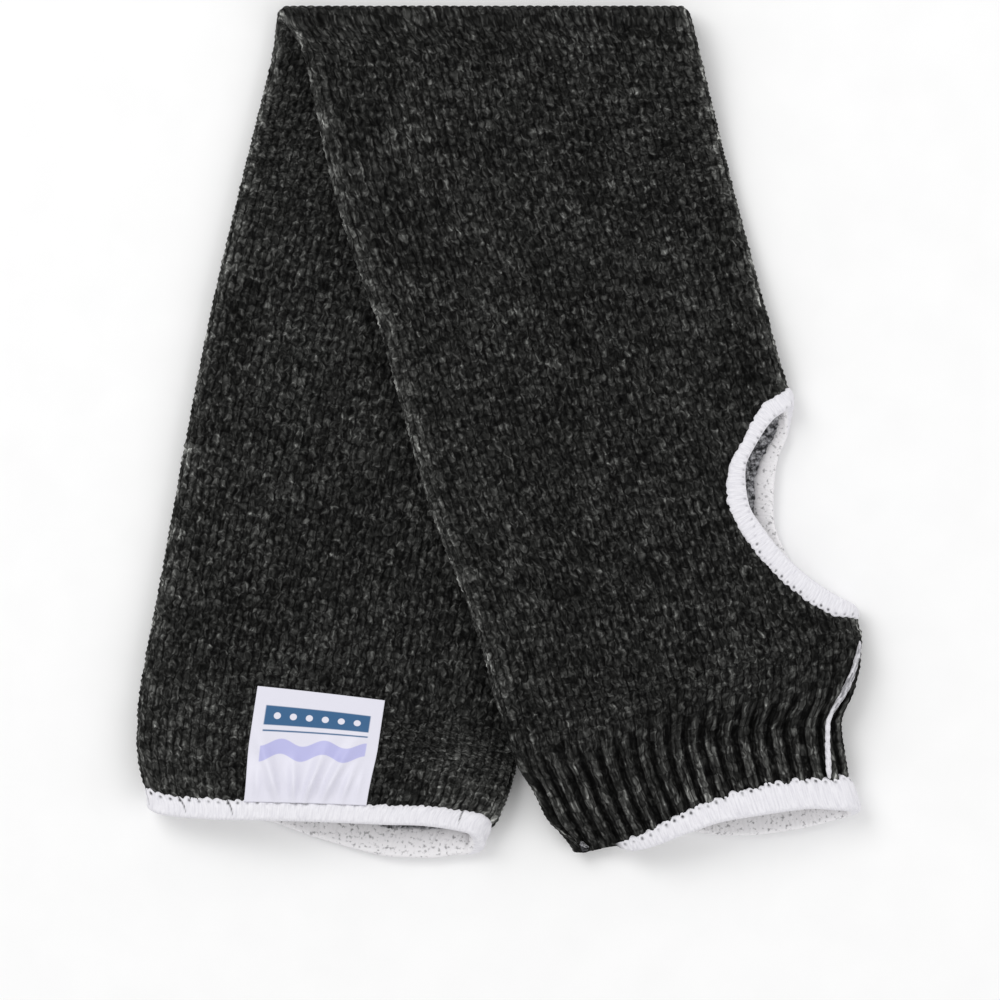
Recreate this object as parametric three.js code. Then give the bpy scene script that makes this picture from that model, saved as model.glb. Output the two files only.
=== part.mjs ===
// A knitted cut resistant sleeve with a thumb hole, lying folded in two across its middle.
//
// The arm leg lies on the surface and the cuff leg comes back over it. X runs to the right and Y
// away from the mouths towards the fold, Z up from the surface that the sleeve lies on.
//
// Every point of the cloth is found in three steps. A station says how far along the sleeve it
// is, counted from the middle of the fold, arm side negative. A girth position says how far
// round the tube it is, counted from the middle of the thumb side edge, positive over the wall
// that is outside at the fold. A height counts from the outer face of the cloth, outwards.
import * as THREE from 'three';

// Lengths of the sleeve
const armReach = 233; // middle of the fold to the upper arm mouth
const cuffReach = 228; // middle of the fold to the wrist mouth
const halfWidth = 53; // half of the flat width at the fold
const wall = 1.8; // knitted wall
const ribbedLength = 41; // ribbed part of the cuff, from the wrist mouth
const plainBand = 6.5; // plain knit between the ribs and the thumb hole
const ribCount = 40;
const ribDepth = 0.8;

// The way it lies
const leanAngle = THREE.MathUtils.degToRad(13.3); // turn of each leg away from square to the fold
const armSway = 12.7; // sideways drift of the arm leg along its length
const cuffSway = 12.9; // sideways drift of the cuff leg along its length
const squareLength = 9; // length beside the roll where the knit's rows stay square to the fold
const turnLength = 61; // length in which they turn square to the leg
const layerGap = 1.2; // air between the two legs
const foldRim = 0.7; // inner radius of the side edges at the fold
const mouthRim = 2.6; // inner radius of the side edges at the mouths
const puffHeight = 5; // height of the middle over the side edges
const dropReach = 24; // width in which the cuff leg comes down beside the arm leg
const drawShare = 0.8; // share of each reach from which the lips of its mouth draw back
const armSlant = 16; // how far the arm mouth's lips draw back from the full reach
const cuffSlant = 6; // how far the wrist mouth's lips draw back from the full reach
const tuckAngle = THREE.MathUtils.degToRad(38); // turn of the wrist's far corner, inwards
const tuckBend = 6; // length of cloth in which that corner turns
const hemRise = 10; // length in which the arm leg rises onto its hem
const cuffRise = { from: 0.25, over: 0.2 }; // the same for the cuff leg, as shares of its reach

// Thumb hole, measured along the cloth
const holeLength = 60;
const holeDepthOver = 23; // depth of its upper lip, from the middle of the side edge
const holeDepthUnder = 20; // depth of its lower lip

// Overlock edgings: a channel of thread that wraps the cut edge of the cloth
const edgeCover = 3.9; // cloth covered by each side of the channel
const edgeNose = 1.4; // thread beyond the cut edge
const edgeLeg = 0.6; // thread on each face of the cloth
const clearance = 0.35; // gap between separate pieces
const holeClearance = 0.5; // gap of the thumb hole's edging, which turns round tight ends

// Seam line on the cuff
const seamWidth = 2.2; // at its widest
const seamHeight = 0.8;
const seamFromEdge = 7.7; // its far end from the middle of the side edge, measured round the cuff

// Satin label
const labelWidth = 34;
const labelHeight = 29.5;
const labelThickness = 0.4;
const labelPlace = -0.15; // place of its middle across the arm leg, as a share of halfWidth
const labelSkew = 0.1; // rise of its top edge over its width
const gatherHeight = 0.35; // small pleats where the hem holds it
const gatherShare = 0.05; // share of its width that the pleats take up

// Steps that set how finely the solids are faceted
const arcSteps = 3;
const wallSteps = 10;
const holeSteps = 18;
const rollSteps = 6;
const seamSteps = 14;
const labelSteps = 8;

// Cross sections. along: share of the leg's reach, arm side negative. left and right: shares of
// halfWidth. puff: share of puffHeight. rim: 0 where the side edge has foldRim, 1 for mouthRim.
const sections = [
  { along: -1.0, left: 0.92, right: 0.745, puff: 0.75, rim: 1.0 },
  { along: -0.974, left: 0.98, right: 0.812, puff: 0.8, rim: 0.95 },
  { along: -0.93, left: 1.036, right: 0.855, puff: 0.88, rim: 0.8 },
  { along: -0.87, left: 1.056, right: 0.876, puff: 0.95, rim: 0.6 },
  { along: -0.7, left: 1.04, right: 0.91, puff: 1.0, rim: 0.35 },
  { along: -0.45, left: 1.038, right: 0.965, puff: 0.95, rim: 0.25 },
  { along: -0.25, left: 1.02, right: 0.995, puff: 0.6, rim: 0.15 },
  { along: -0.06, left: 1.008, right: 1.01, puff: 0.0, rim: 0.0 },
  { along: 0.0, left: 1.03, right: 1.01, puff: 0.0, rim: 0.0 },
  { along: 0.06, left: 0.958, right: 1.012, puff: 0.0, rim: 0.0 },
  { along: 0.2, left: 0.977, right: 1.012, puff: 0.45, rim: 0.15 },
  { along: 0.36, left: 0.93, right: 1.012, puff: 0.7, rim: 0.4 },
  { along: 0.53, left: 0.94, right: 1.012, puff: 0.8, rim: 0.8 },
  { along: 0.72, left: 0.896, right: 1.012, puff: 0.8, rim: 0.85 },
  { along: 0.81, left: 0.917, right: 1.012, puff: 0.8, rim: 0.85 },
  { along: 0.846, left: 0.917, right: 0.965, puff: 0.8, rim: 0.9 },
  { along: 0.877, left: 0.915, right: 0.885, puff: 0.8, rim: 0.95 },
  { along: 0.908, left: 0.88, right: 0.768, puff: 0.8, rim: 1.0 },
  { along: 0.943, left: 0.862, right: 0.733, puff: 0.8, rim: 1.0 },
  { along: 1.0, left: 0.82, right: 0.7, puff: 0.75, rim: 1.0 },
];

// Lips of the upper arm mouth. across: share of halfWidth. over and under: shares of armSlant by
// which the lip that shows above and the one below it draw back.
const armMouth = [
  { across: -0.88, over: 0.0, under: 0.09 },
  { across: -0.66, over: 0.09, under: 0.19 },
  { across: -0.36, over: 0.3, under: 0.3 },
  { across: -0.07, over: 0.5, under: 0.2 },
  { across: 0.23, over: 0.69, under: 0.15 },
  { across: 0.5, over: 0.86, under: 0.3 },
  { across: 0.7, over: 0.91, under: 0.52 },
];

// Lips of the wrist mouth, the same way, as shares of cuffSlant. tuck: share of tuckAngle by
// which the upper lip turns inwards. cover: share of edgeCover that its hem covers there.
const cuffMouth = [
  { across: -0.6, over: 0.05, under: 1.1, tuck: 1.0, cover: 0.35 },
  { across: -0.45, over: 0.1, under: 0.95, tuck: 0.6, cover: 0.55 },
  { across: -0.17, over: 0.5, under: 0.48, tuck: 0.1, cover: 1.0 },
  { across: 0.0, over: 0.63, under: -0.05, tuck: 0.0, cover: 1.15 },
  { across: 0.2, over: 0.52, under: -0.4, tuck: 0.0, cover: 1.5 },
  { across: 0.45, over: 0.3, under: -0.55, tuck: 0.0, cover: 1.7 },
  { across: 0.66, over: -0.1, under: -0.45, tuck: 0.0, cover: 1.7 },
];

// Thumb hole. along: share of holeLength. over and under: fullness of each lip, as a share of an
// ellipse of the lip's depth.
const holeLips = [
  { along: 0.0, over: 0.36, under: 0.3 },
  { along: 0.06, over: 0.8, under: 0.42 },
  { along: 0.15, over: 0.86, under: 0.55 },
  { along: 0.25, over: 0.98, under: 0.72 },
  { along: 0.42, over: 1.01, under: 0.85 },
  { along: 0.56, over: 0.93, under: 0.92 },
  { along: 0.72, over: 0.82, under: 0.93 },
  { along: 0.84, over: 0.71, under: 0.81 },
  { along: 0.94, over: 0.57, under: 0.65 },
  { along: 1.0, over: 0.4, under: 0.45 },
];

// Seam line. along: share of its length, from the plain band. away: share of seamFromEdge. width:
// share of seamWidth.
const seamLine = [
  { along: 0.0, away: 0.31, width: 0.7 },
  { along: 0.17, away: 0.49, width: 0.7 },
  { along: 0.32, away: 0.65, width: 1.0 },
  { along: 0.42, away: 0.76, width: 0.9 },
  { along: 0.52, away: 0.81, width: 0.55 },
  { along: 0.62, away: 0.84, width: 0.55 },
  { along: 0.8, away: 0.93, width: 0.6 },
  { along: 1.0, away: 1.0, width: 0.65 },
];

// Values worked out from the sizes above
const foldThickness = 2 * (wall + foldRim);
const rollLength = Math.PI * (layerGap / 2 + foldThickness / 2);
const rollEnd = rollLength / 2 / Math.cos(leanAngle);
const ribStart = cuffReach - ribbedLength;
const holeEnd = ribStart - plainBand;
const holeStart = holeEnd - holeLength;
const edgeStand = Math.max(clearance, holeClearance) + edgeLeg;
const longestCover = edgeCover * Math.max(...cuffMouth.map((row) => row.cover));
const straightEnd = longestCover + clearance + 1;
const labelFromMiddle = labelPlace * halfWidth;

function smooth(share) {
  const t = THREE.MathUtils.clamp(share, 0, 1);
  return t * t * (3 - 2 * t);
}

// Reads a column of a table at a place between its rows, on a curve that never overshoots them.
function readTable(table, key, column, at) {
  const last = table.length - 1;
  if (at <= table[0][key]) {
    return table[0][column];
  }
  if (at >= table[last][key]) {
    return table[last][column];
  }
  let row = 0;
  while (table[row + 1][key] < at) {
    row += 1;
  }
  const slope = (i) => (table[i + 1][column] - table[i][column]) / (table[i + 1][key] - table[i][key]);
  const tangent = (i) => {
    if (i === 0 || i === last) {
      return 0;
    }
    const before = slope(i - 1);
    const after = slope(i);
    return before * after <= 0 ? 0 : (2 * before * after) / (before + after);
  };
  const width = table[row + 1][key] - table[row][key];
  const t = (at - table[row][key]) / width;
  const t2 = t * t;
  const t3 = t2 * t;
  return (2 * t3 - 3 * t2 + 1) * table[row][column]
    + (t3 - 2 * t2 + t) * width * tangent(row)
    + (3 * t2 - 2 * t3) * table[row + 1][column]
    + (t3 - t2) * width * tangent(row + 1);
}

// Cross section at a station: a flat loop with round side edges and a puffed middle.
function sectionAt(station) {
  const along = station < 0 ? station / armReach : station / cuffReach;
  const rim = wall + foldRim + (mouthRim - foldRim) * readTable(sections, 'along', 'rim', along);
  const left = -halfWidth * readTable(sections, 'along', 'left', along);
  const right = halfWidth * readTable(sections, 'along', 'right', along);
  const puff = puffHeight * readTable(sections, 'along', 'puff', along);
  const arc = (Math.PI / 2) * rim;
  return { left, right, rim, puff, arc, half: 2 * arc + right - left - 2 * rim };
}

// Thickness of the whole flat tube at a place across it.
function thickness(section, across) {
  const middle = (section.left + section.right) / 2;
  const reach = (section.right - section.left) / 2 - section.rim;
  const share = Math.min(1, Math.abs(across - middle) / reach);
  return 2 * section.rim + section.puff * (1 - share ** 4) ** 1.5;
}

// Outer face of the section at a girth position: place across, depth from the face that is
// inside at the fold, the way out of the cloth, and how much it belongs to the outside wall.
function aroundSection(section, girth) {
  const sign = girth < 0 ? -1 : 1;
  const distance = Math.abs(girth);
  if (distance < section.arc) {
    const angle = girth / section.rim;
    return {
      across: section.right - section.rim + section.rim * Math.cos(angle),
      depth: section.rim + section.rim * Math.sin(angle),
      out: [Math.cos(angle), Math.sin(angle)],
      outside: (1 + Math.sin(angle)) / 2,
    };
  }
  if (distance <= section.half - section.arc) {
    const across = section.right - section.rim - (distance - section.arc);
    return {
      across,
      depth: sign > 0 ? thickness(section, across) : 0,
      out: [0, sign],
      outside: sign > 0 ? 1 : 0,
    };
  }
  const angle = (distance - section.half + section.arc) / section.rim;
  return {
    across: section.left + section.rim - section.rim * Math.sin(angle),
    depth: section.rim + sign * section.rim * Math.cos(angle),
    out: [-Math.sin(angle), sign * Math.cos(angle)],
    outside: (1 + sign * Math.cos(angle)) / 2,
  };
}

// Distance along the sleeve of a station, once the lips of the mouths draw back.
function slide(station, across, outside) {
  const arm = station < 0;
  const far = Math.abs(station);
  const reach = arm ? armReach : cuffReach;
  const table = arm ? armMouth : cuffMouth;
  const over = readTable(table, 'across', 'over', across / halfWidth);
  const under = readTable(table, 'across', 'under', across / halfWidth);
  const showing = arm ? 1 - outside : outside;
  const back = (arm ? armSlant : cuffSlant) * (under + (over - under) * showing);
  const start = drawShare * reach;
  const share = smooth((far - start) / (reach - straightEnd - start));
  return (arm ? -1 : 1) * (far - back * share);
}

// Near the fold the stations lie square to the roll, further out square to the leg.
function shear(station, across) {
  const share = 1 - smooth((Math.abs(station) - rollEnd - squareLength) / turnLength);
  return across * Math.tan(leanAngle) * share;
}

// Height of the arm leg's upper face under a point of the cuff leg, with the air between them.
// Beside the arm leg it comes down to the surface.
function restHeight(x, y) {
  const run = Math.max(0, -y);
  const level = x - armSway * (run / armReach) ** 2;
  const turn = -run - rollLength / 2;
  const along = turn * Math.cos(leanAngle) + level * Math.sin(leanAngle);
  const across = level * Math.cos(leanAngle) - turn * Math.sin(leanAngle);
  let station = along;
  for (let pass = 0; pass < 12; pass += 1) {
    const here = Math.min(-0.01, station);
    station += along - slide(here, across, 0) - shear(here, across);
  }
  station = THREE.MathUtils.clamp(station, -armReach, 0);
  const section = sectionAt(station);
  const onWall = THREE.MathUtils.clamp(across, section.left + section.rim, section.right - section.rim);
  const past = Math.max(0, across - section.right);
  return (thickness(section, onWall) + layerGap) * (1 - smooth(past / dropReach));
}

// Raises the cloth where a thicker edging lies under it.
function standing(station) {
  if (station < 0) {
    return edgeStand * smooth((-station - armReach + straightEnd + hemRise) / hemRise);
  }
  return edgeStand * smooth((station / cuffReach - cuffRise.from) / cuffRise.over);
}

// Lays a point of the flat sleeve down: the arm leg on the surface, the roll of the fold, and
// the cuff leg over the arm leg.
function lay(station, along, across, depth, section) {
  const turn = along * Math.cos(leanAngle) - across * Math.sin(leanAngle);
  const level = across * Math.cos(leanAngle) + along * Math.sin(leanAngle);
  const run = Math.abs(turn) - rollLength / 2;
  if (run <= 0) {
    const angle = Math.PI * (turn / rollLength + 0.5);
    const radius = layerGap / 2 + depth;
    const axis = foldThickness + layerGap / 2;
    return new THREE.Vector3(level, radius * Math.sin(angle), axis - radius * Math.cos(angle));
  }
  if (turn < 0) {
    const x = level + armSway * (run / armReach) ** 2;
    return new THREE.Vector3(x, -run, thickness(section, across) - depth + standing(station));
  }
  const x = level + cuffSway * (run / cuffReach) ** 2;
  return new THREE.Vector3(x, -run, restHeight(x, -run) + depth + standing(station));
}

// Point of the sleeve at a station, a girth position and a height over the outer face.
function sleevePoint(station, girth, height) {
  const section = sectionAt(station);
  const place = aroundSection(section, girth);
  const along = slide(station, place.across, place.outside) + shear(station, place.across);
  const tuckShare = station > 0 ? readTable(cuffMouth, 'across', 'tuck', place.across / halfWidth) : 0;
  const angle = tuckAngle * tuckShare * place.outside;
  const turned = station - (cuffReach - straightEnd - tuckBend);
  if (angle < 0.01 || turned <= 0) {
    const across = place.across + place.out[0] * height;
    const depth = place.depth + place.out[1] * height;
    return lay(station, along, across, depth, section);
  }
  const radius = tuckBend / angle;
  const bent = Math.min(turned, tuckBend);
  const straight = turned - bent;
  const now = bent / radius;
  const forward = radius * Math.sin(now) + straight * Math.cos(now) - turned + height * Math.sin(now);
  const inward = radius * (1 - Math.cos(now)) + straight * Math.sin(now) - height * Math.cos(now);
  const across = place.across - place.out[0] * inward;
  const depth = place.depth - place.out[1] * inward;
  return lay(station, along + forward, across, depth, section);
}

// Depth of the thumb hole at a station: how far its two lips lie from the middle of the side edge.
function holeAt(station) {
  const share = THREE.MathUtils.clamp((station - holeStart) / holeLength, 0, 1);
  const round = Math.sqrt(4 * share * (1 - share));
  return {
    over: holeDepthOver * round * readTable(holeLips, 'along', 'over', share),
    under: holeDepthUnder * round * readTable(holeLips, 'along', 'under', share),
  };
}

// Girth positions of the plain knit's columns at a station: the two side edges and both walls.
// Columns beside the thumb hole are pushed aside by its lips.
function plainColumns(station) {
  const section = sectionAt(station);
  const flat = section.half - 2 * section.arc;
  const overHalf = [];
  for (let i = 0; i < arcSteps; i += 1) {
    overHalf.push((section.arc * i) / arcSteps);
  }
  for (let i = 0; i < wallSteps; i += 1) {
    overHalf.push(section.arc + (flat * i) / wallSteps);
  }
  for (let i = 0; i <= arcSteps; i += 1) {
    overHalf.push(section.half - section.arc + (section.arc * i) / arcSteps);
  }
  const hole = holeAt(station);
  const free = section.half / 2;
  const push = (girth, lip) => (girth < free ? lip + girth * (1 - lip / free) : girth);
  const overColumns = overHalf.map((girth) => push(girth, hole.over));
  const underColumns = overHalf.map((girth) => -push(girth, hole.under)).reverse();
  return overColumns.concat(underColumns.slice(1));
}

// Girth positions of the ribbed knit's columns: a ridge and a valley for every rib.
function ribColumns(station) {
  const section = sectionAt(station);
  const steps = 2 * ribCount;
  const columns = [];
  for (let i = 0; i <= steps; i += 1) {
    const girth = (2 * section.half * i) / steps;
    columns.push(girth <= section.half ? girth : girth - 2 * section.half);
  }
  return columns;
}

// A mesh of numbered points, joined by triangles.
class Shell {
  constructor() {
    this.points = [];
    this.faces = [];
  }

  add(point) {
    this.points.push(point);
    return this.points.length - 1;
  }

  triangle(a, b, c) {
    if (a !== b && b !== c && a !== c) {
      this.faces.push([a, b, c]);
    }
  }

  quad(a, b, c, d) {
    this.triangle(a, b, c);
    this.triangle(a, c, d);
  }

  // Joins two rows with the same number of points.
  strip(rowA, rowB) {
    for (let i = 0; i + 1 < rowA.length; i += 1) {
      this.quad(rowA[i], rowA[i + 1], rowB[i + 1], rowB[i]);
    }
  }

  // Joins two rows with different numbers of points, by their shares of the way round.
  zip(rowA, rowB) {
    let a = 0;
    let b = 0;
    while (a + 1 < rowA.length || b + 1 < rowB.length) {
      const nextA = (a + 1) / (rowA.length - 1);
      const nextB = (b + 1) / (rowB.length - 1);
      if (nextA <= nextB) {
        this.triangle(rowA[a], rowA[a + 1], rowB[b]);
        a += 1;
      } else {
        this.triangle(rowA[a], rowB[b + 1], rowB[b]);
        b += 1;
      }
    }
  }

  // Closed geometry with its faces pointing out.
  geometry() {
    let volume = 0;
    for (const [a, b, c] of this.faces) {
      const cross = new THREE.Vector3().crossVectors(this.points[b], this.points[c]);
      volume += this.points[a].dot(cross);
    }
    const faces = volume < 0 ? this.faces.map(([a, b, c]) => [a, c, b]) : this.faces;
    const geometry = new THREE.BufferGeometry().setFromPoints(this.points);
    geometry.setIndex(faces.flat());
    geometry.computeVertexNormals();
    return geometry;
  }
}

// Stations of the plain knit, from the upper arm mouth to the start of the ribs.
function plainStations() {
  const armShares = [1, 0.96, 0.915, 0.86, 0.78, 0.68, 0.56, 0.44, 0.33, 0.23, 0.15, 0.09, 0.05];
  const cuffShares = [0.1, 0.18, 0.28, 0.4, 0.53, 0.67, 0.8, 0.92];
  const list = [-armReach];
  for (const share of armShares) {
    list.push(-(armReach - straightEnd) * share);
  }
  for (let i = 0; i <= rollSteps; i += 1) {
    list.push(rollEnd * ((2 * i) / rollSteps - 1));
  }
  for (const share of cuffShares) {
    list.push(holeStart * share);
  }
  for (let i = 0; i <= holeSteps; i += 1) {
    list.push(holeStart + (holeLength * (1 - Math.cos((Math.PI * i) / holeSteps))) / 2);
  }
  list.push(ribStart);
  return list;
}

// Stations of the ribs and how deep the valleys are there, as a share of ribDepth.
function ribStations() {
  const ribEnd = cuffReach - straightEnd;
  const rows = [
    { share: 0.12, depth: 0.25 },
    { share: 0.3, depth: 0.7 },
    { share: 0.55, depth: 1 },
    { share: 0.8, depth: 1 },
    { share: 1, depth: 0.25 },
  ];
  const list = rows.map(({ share, depth }) => ({ station: ribStart + (ribEnd - ribStart) * share, depth }));
  list.push({ station: cuffReach, depth: 0 });
  return list;
}

// Row of points round the tube. The last point is the first one again, unless the row is open.
function ringRow(shell, station, columns, height, open) {
  const row = [];
  columns.forEach((girth, i) => {
    const closes = !open && i === columns.length - 1;
    row.push(closes ? row[0] : shell.add(sleevePoint(station, girth, height(i))));
  });
  return row;
}

// The knitted tube: outer and inner face, joined at both mouths and along the thumb hole's lips.
function knitTube() {
  const shell = new Shell();
  const rings = [];
  for (const station of plainStations()) {
    const columns = plainColumns(station);
    const open = station > holeStart + 0.001 && station < holeEnd - 0.001;
    rings.push({
      open,
      outer: ringRow(shell, station, columns, () => 0, open),
      inner: ringRow(shell, station, columns, () => -wall, open),
    });
  }
  for (let j = 0; j + 1 < rings.length; j += 1) {
    shell.strip(rings[j].outer, rings[j + 1].outer);
    shell.strip(rings[j + 1].inner, rings[j].inner);
    if (rings[j].open || rings[j + 1].open) {
      shell.strip([rings[j].inner[0], rings[j].outer[0]], [rings[j + 1].inner[0], rings[j + 1].outer[0]]);
      const end = rings[j].outer.length - 1;
      shell.strip(
        [rings[j].outer[end], rings[j].inner[end]],
        [rings[j + 1].outer[end], rings[j + 1].inner[end]],
      );
    }
  }
  const ribs = ribStations().map(({ station, depth }) => {
    const columns = ribColumns(station);
    const valley = (i) => (i % 2 === 1 ? -ribDepth * depth : 0);
    return {
      outer: ringRow(shell, station, columns, valley, false),
      inner: ringRow(shell, station, columns, (i) => valley(i) / 2 - wall, false),
    };
  });
  const lastPlain = rings[rings.length - 1];
  shell.zip(lastPlain.outer, ribs[0].outer);
  shell.zip(ribs[0].inner, lastPlain.inner);
  for (let j = 0; j + 1 < ribs.length; j += 1) {
    shell.strip(ribs[j].outer, ribs[j + 1].outer);
    shell.strip(ribs[j + 1].inner, ribs[j].inner);
  }
  const armEnd = rings[0];
  const cuffEnd = ribs[ribs.length - 1];
  shell.strip(armEnd.inner, armEnd.outer);
  shell.strip(cuffEnd.outer, cuffEnd.inner);
  return shell.geometry();
}

// Outline of an edging's channel: how far past the cut edge, and the height over the outer face.
// A negative distance lies on the cloth.
function channelOutline(gap, cover, coverPoints) {
  const over = gap;
  const under = -wall - gap;
  const bevel = 0.2 * cover;
  const inside = (i) => gap - ((cover + gap) * i) / coverPoints;
  const outside = (i) => gap - ((cover + gap - bevel) * i) / coverPoints;
  const steps = Array.from({ length: coverPoints + 1 }, (_, i) => i);
  return [
    ...steps.map((i) => [inside(i), over]),
    ...steps.map((i) => [outside(coverPoints - i), over + edgeLeg]),
    [gap + edgeNose, -wall / 2],
    ...steps.map((i) => [outside(i), under - edgeLeg]),
    ...steps.map((i) => [inside(coverPoints - i), under]),
  ];
}

// Sweeps a channel round a closed row of places.
function channel(places, outlineAt, pointAt) {
  const shell = new Shell();
  const rows = places.map((place) => (
    outlineAt(place).map(([past, height]) => shell.add(pointAt(place, past, height)))
  ));
  rows.forEach((row, j) => {
    const next = rows[(j + 1) % rows.length];
    shell.strip(row.concat(row[0]), next.concat(next[0]));
  });
  return shell.geometry();
}

// Cloth that the hem of a mouth covers at a column.
function hemCover(side, girth) {
  if (side < 0) {
    return edgeCover;
  }
  const place = aroundSection(sectionAt(cuffReach), girth);
  return edgeCover * readTable(cuffMouth, 'across', 'cover', place.across / halfWidth);
}

// Hem round a mouth, whose columns are those of the cloth under it.
function mouthHem(side, columnsAt) {
  const reach = side < 0 ? armReach : cuffReach;
  const columns = columnsAt(side * reach);
  const places = Array.from({ length: columns.length - 1 }, (_, i) => i);
  const outlineAt = (i) => channelOutline(clearance, hemCover(side, columns[i]), 1);
  return channel(places, outlineAt, (i, past, height) => {
    const station = side * (reach + past);
    return sleevePoint(station, columnsAt(station)[i], height);
  });
}

// Edging of the thumb hole: out along the upper lip and back along the lower one. It covers
// less of the cloth where it turns round the side edge.
function holeEdging() {
  const places = [];
  for (let i = 0; i < 2 * holeSteps; i += 1) {
    places.push((Math.PI * i) / holeSteps);
  }
  const lip = (angle) => {
    const station = holeStart + (holeLength * (1 - Math.cos(angle))) / 2;
    const depth = holeAt(station);
    return [station, Math.sin(angle) >= 0 ? depth.over : -depth.under];
  };
  const outlineAt = (angle) => {
    const turned = smooth(Math.abs(lip(angle)[1]) / (holeDepthOver / 3));
    return channelOutline(holeClearance, edgeCover * (0.45 + 0.55 * turned), 2);
  };
  return channel(places, outlineAt, (angle, past, height) => {
    const [station, girth] = lip(angle);
    const before = lip(angle - 0.02);
    const after = lip(angle + 0.02);
    const rise = [after[0] - before[0], after[1] - before[1]];
    const length = Math.hypot(rise[0], rise[1]);
    const inwards = [rise[1] / length, -rise[0] / length];
    return sleevePoint(station + inwards[0] * past, girth + inwards[1] * past, height);
  });
}

// Seam line on the cuff: a flat bead of thread that follows the side edge.
function cuffSeam() {
  const shell = new Shell();
  const start = ribStart + 1;
  const end = cuffReach - longestCover - clearance;
  const profile = [[-0.5, 0], [-0.3, 0.8], [0, 1], [0.3, 0.8], [0.5, 0]];
  const rows = [];
  for (let i = 0; i <= seamSteps; i += 1) {
    const share = i / seamSteps;
    const girth = seamFromEdge * readTable(seamLine, 'along', 'away', share);
    const width = seamWidth * readTable(seamLine, 'along', 'width', share);
    const station = start + (end - start) * share;
    rows.push(profile.map(([side, rise]) => {
      const height = clearance + seamHeight * rise;
      return shell.add(sleevePoint(station, girth + width * side, height));
    }));
  }
  rows.slice(1).forEach((row, i) => shell.strip(rows[i].concat(rows[i][0]), row.concat(row[0])));
  for (const [row, flip] of [[rows[0], false], [rows[seamSteps], true]]) {
    for (let i = 1; i + 1 < row.length; i += 1) {
      shell.triangle(row[0], flip ? row[i] : row[i + 1], flip ? row[i + 1] : row[i]);
    }
  }
  return shell.geometry();
}

// Girth position on the arm leg's upper wall at a place across it.
function armGirth(station, across) {
  const section = sectionAt(station);
  return -(section.arc + section.right - section.rim - across);
}

// Label: a thin sheet on the arm leg's upper wall. Its lower edge meets the hem.
function satinLabel() {
  const shell = new Shell();
  const hemLine = armReach - edgeCover - 2 * clearance;
  const topLine = hemLine - labelHeight;
  const drawn = (slide(-topLine, labelFromMiddle, 0) - slide(-hemLine, labelFromMiddle, 0)) / labelHeight;
  const grid = (height) => {
    const rows = [];
    for (let j = 0; j <= labelSteps; j += 1) {
      const up = j / labelSteps;
      rows.push([]);
      for (let i = 0; i <= labelSteps; i += 1) {
        const over = i / labelSteps - 0.5;
        const across = labelFromMiddle + labelWidth * over * (1 - gatherShare * (1 - smooth(up * 2)));
        const rise = (labelHeight + labelSkew * labelWidth * over) * up;
        const station = -hemLine + rise / drawn;
        const pleat = i % 2 === 1 ? gatherHeight * (1 - smooth(up * 1.6)) : 0;
        const lifted = height + clearance + pleat;
        rows[j].push(shell.add(sleevePoint(station, armGirth(station, across), lifted)));
      }
    }
    return rows;
  };
  const under = grid(0);
  const over = grid(labelThickness);
  const rim = (rows) => {
    const last = rows.length - 1;
    const sideA = rows.map((row) => row[0]).slice(0, last);
    const sideB = rows.map((row) => row[last]).slice(1).reverse();
    return [...sideA, ...rows[last].slice(0, last), ...sideB, ...rows[0].slice(1).reverse()];
  };
  for (let j = 0; j < labelSteps; j += 1) {
    shell.strip(over[j], over[j + 1]);
    shell.strip(under[j + 1], under[j]);
  }
  const underRim = rim(under);
  const overRim = rim(over);
  shell.strip(overRim.concat(overRim[0]), underRim.concat(underRim[0]));
  return shell.geometry();
}

function piece(name, geometry, colour, roughness) {
  const material = new THREE.MeshStandardMaterial({ color: colour, roughness, metalness: 0 });
  const mesh = new THREE.Mesh(geometry, material);
  mesh.name = name;
  return mesh;
}

const knitColour = 0x2b2c2f;
const threadColour = 0xe9e7ef;
const labelColour = 0xd9daea;

const sleeve = new THREE.Group();
sleeve.add(piece('knit_tube', knitTube(), knitColour, 0.95));
sleeve.add(piece('upper_arm_hem', mouthHem(-1, plainColumns), threadColour, 0.85));
sleeve.add(piece('wrist_hem', mouthHem(1, ribColumns), threadColour, 0.85));
sleeve.add(piece('thumb_hole_edging', holeEdging(), threadColour, 0.85));
sleeve.add(piece('cuff_seam', cuffSeam(), threadColour, 0.85));
sleeve.add(piece('label', satinLabel(), labelColour, 0.4));

// The origin is under the middle of the sleeve, on the surface that it lies on.
const box = new THREE.Box3().setFromObject(sleeve);
sleeve.position.set(-(box.min.x + box.max.x) / 2, -(box.min.y + box.max.y) / 2, -box.min.z);
sleeve.updateMatrixWorld(true);

export default sleeve;
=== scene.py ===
# %% [markdown]
# A knitted cut resistant sleeve, dressed in Blender.
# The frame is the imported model: one folded cloth tube, three overlock edgings, a cuff seam and a
# label, all as plain solids. This lesson makes the same pieces again with their stitches, threads
# and weave. The real sleeve lies folded in two on a white table and is seen from straight above.

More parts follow.
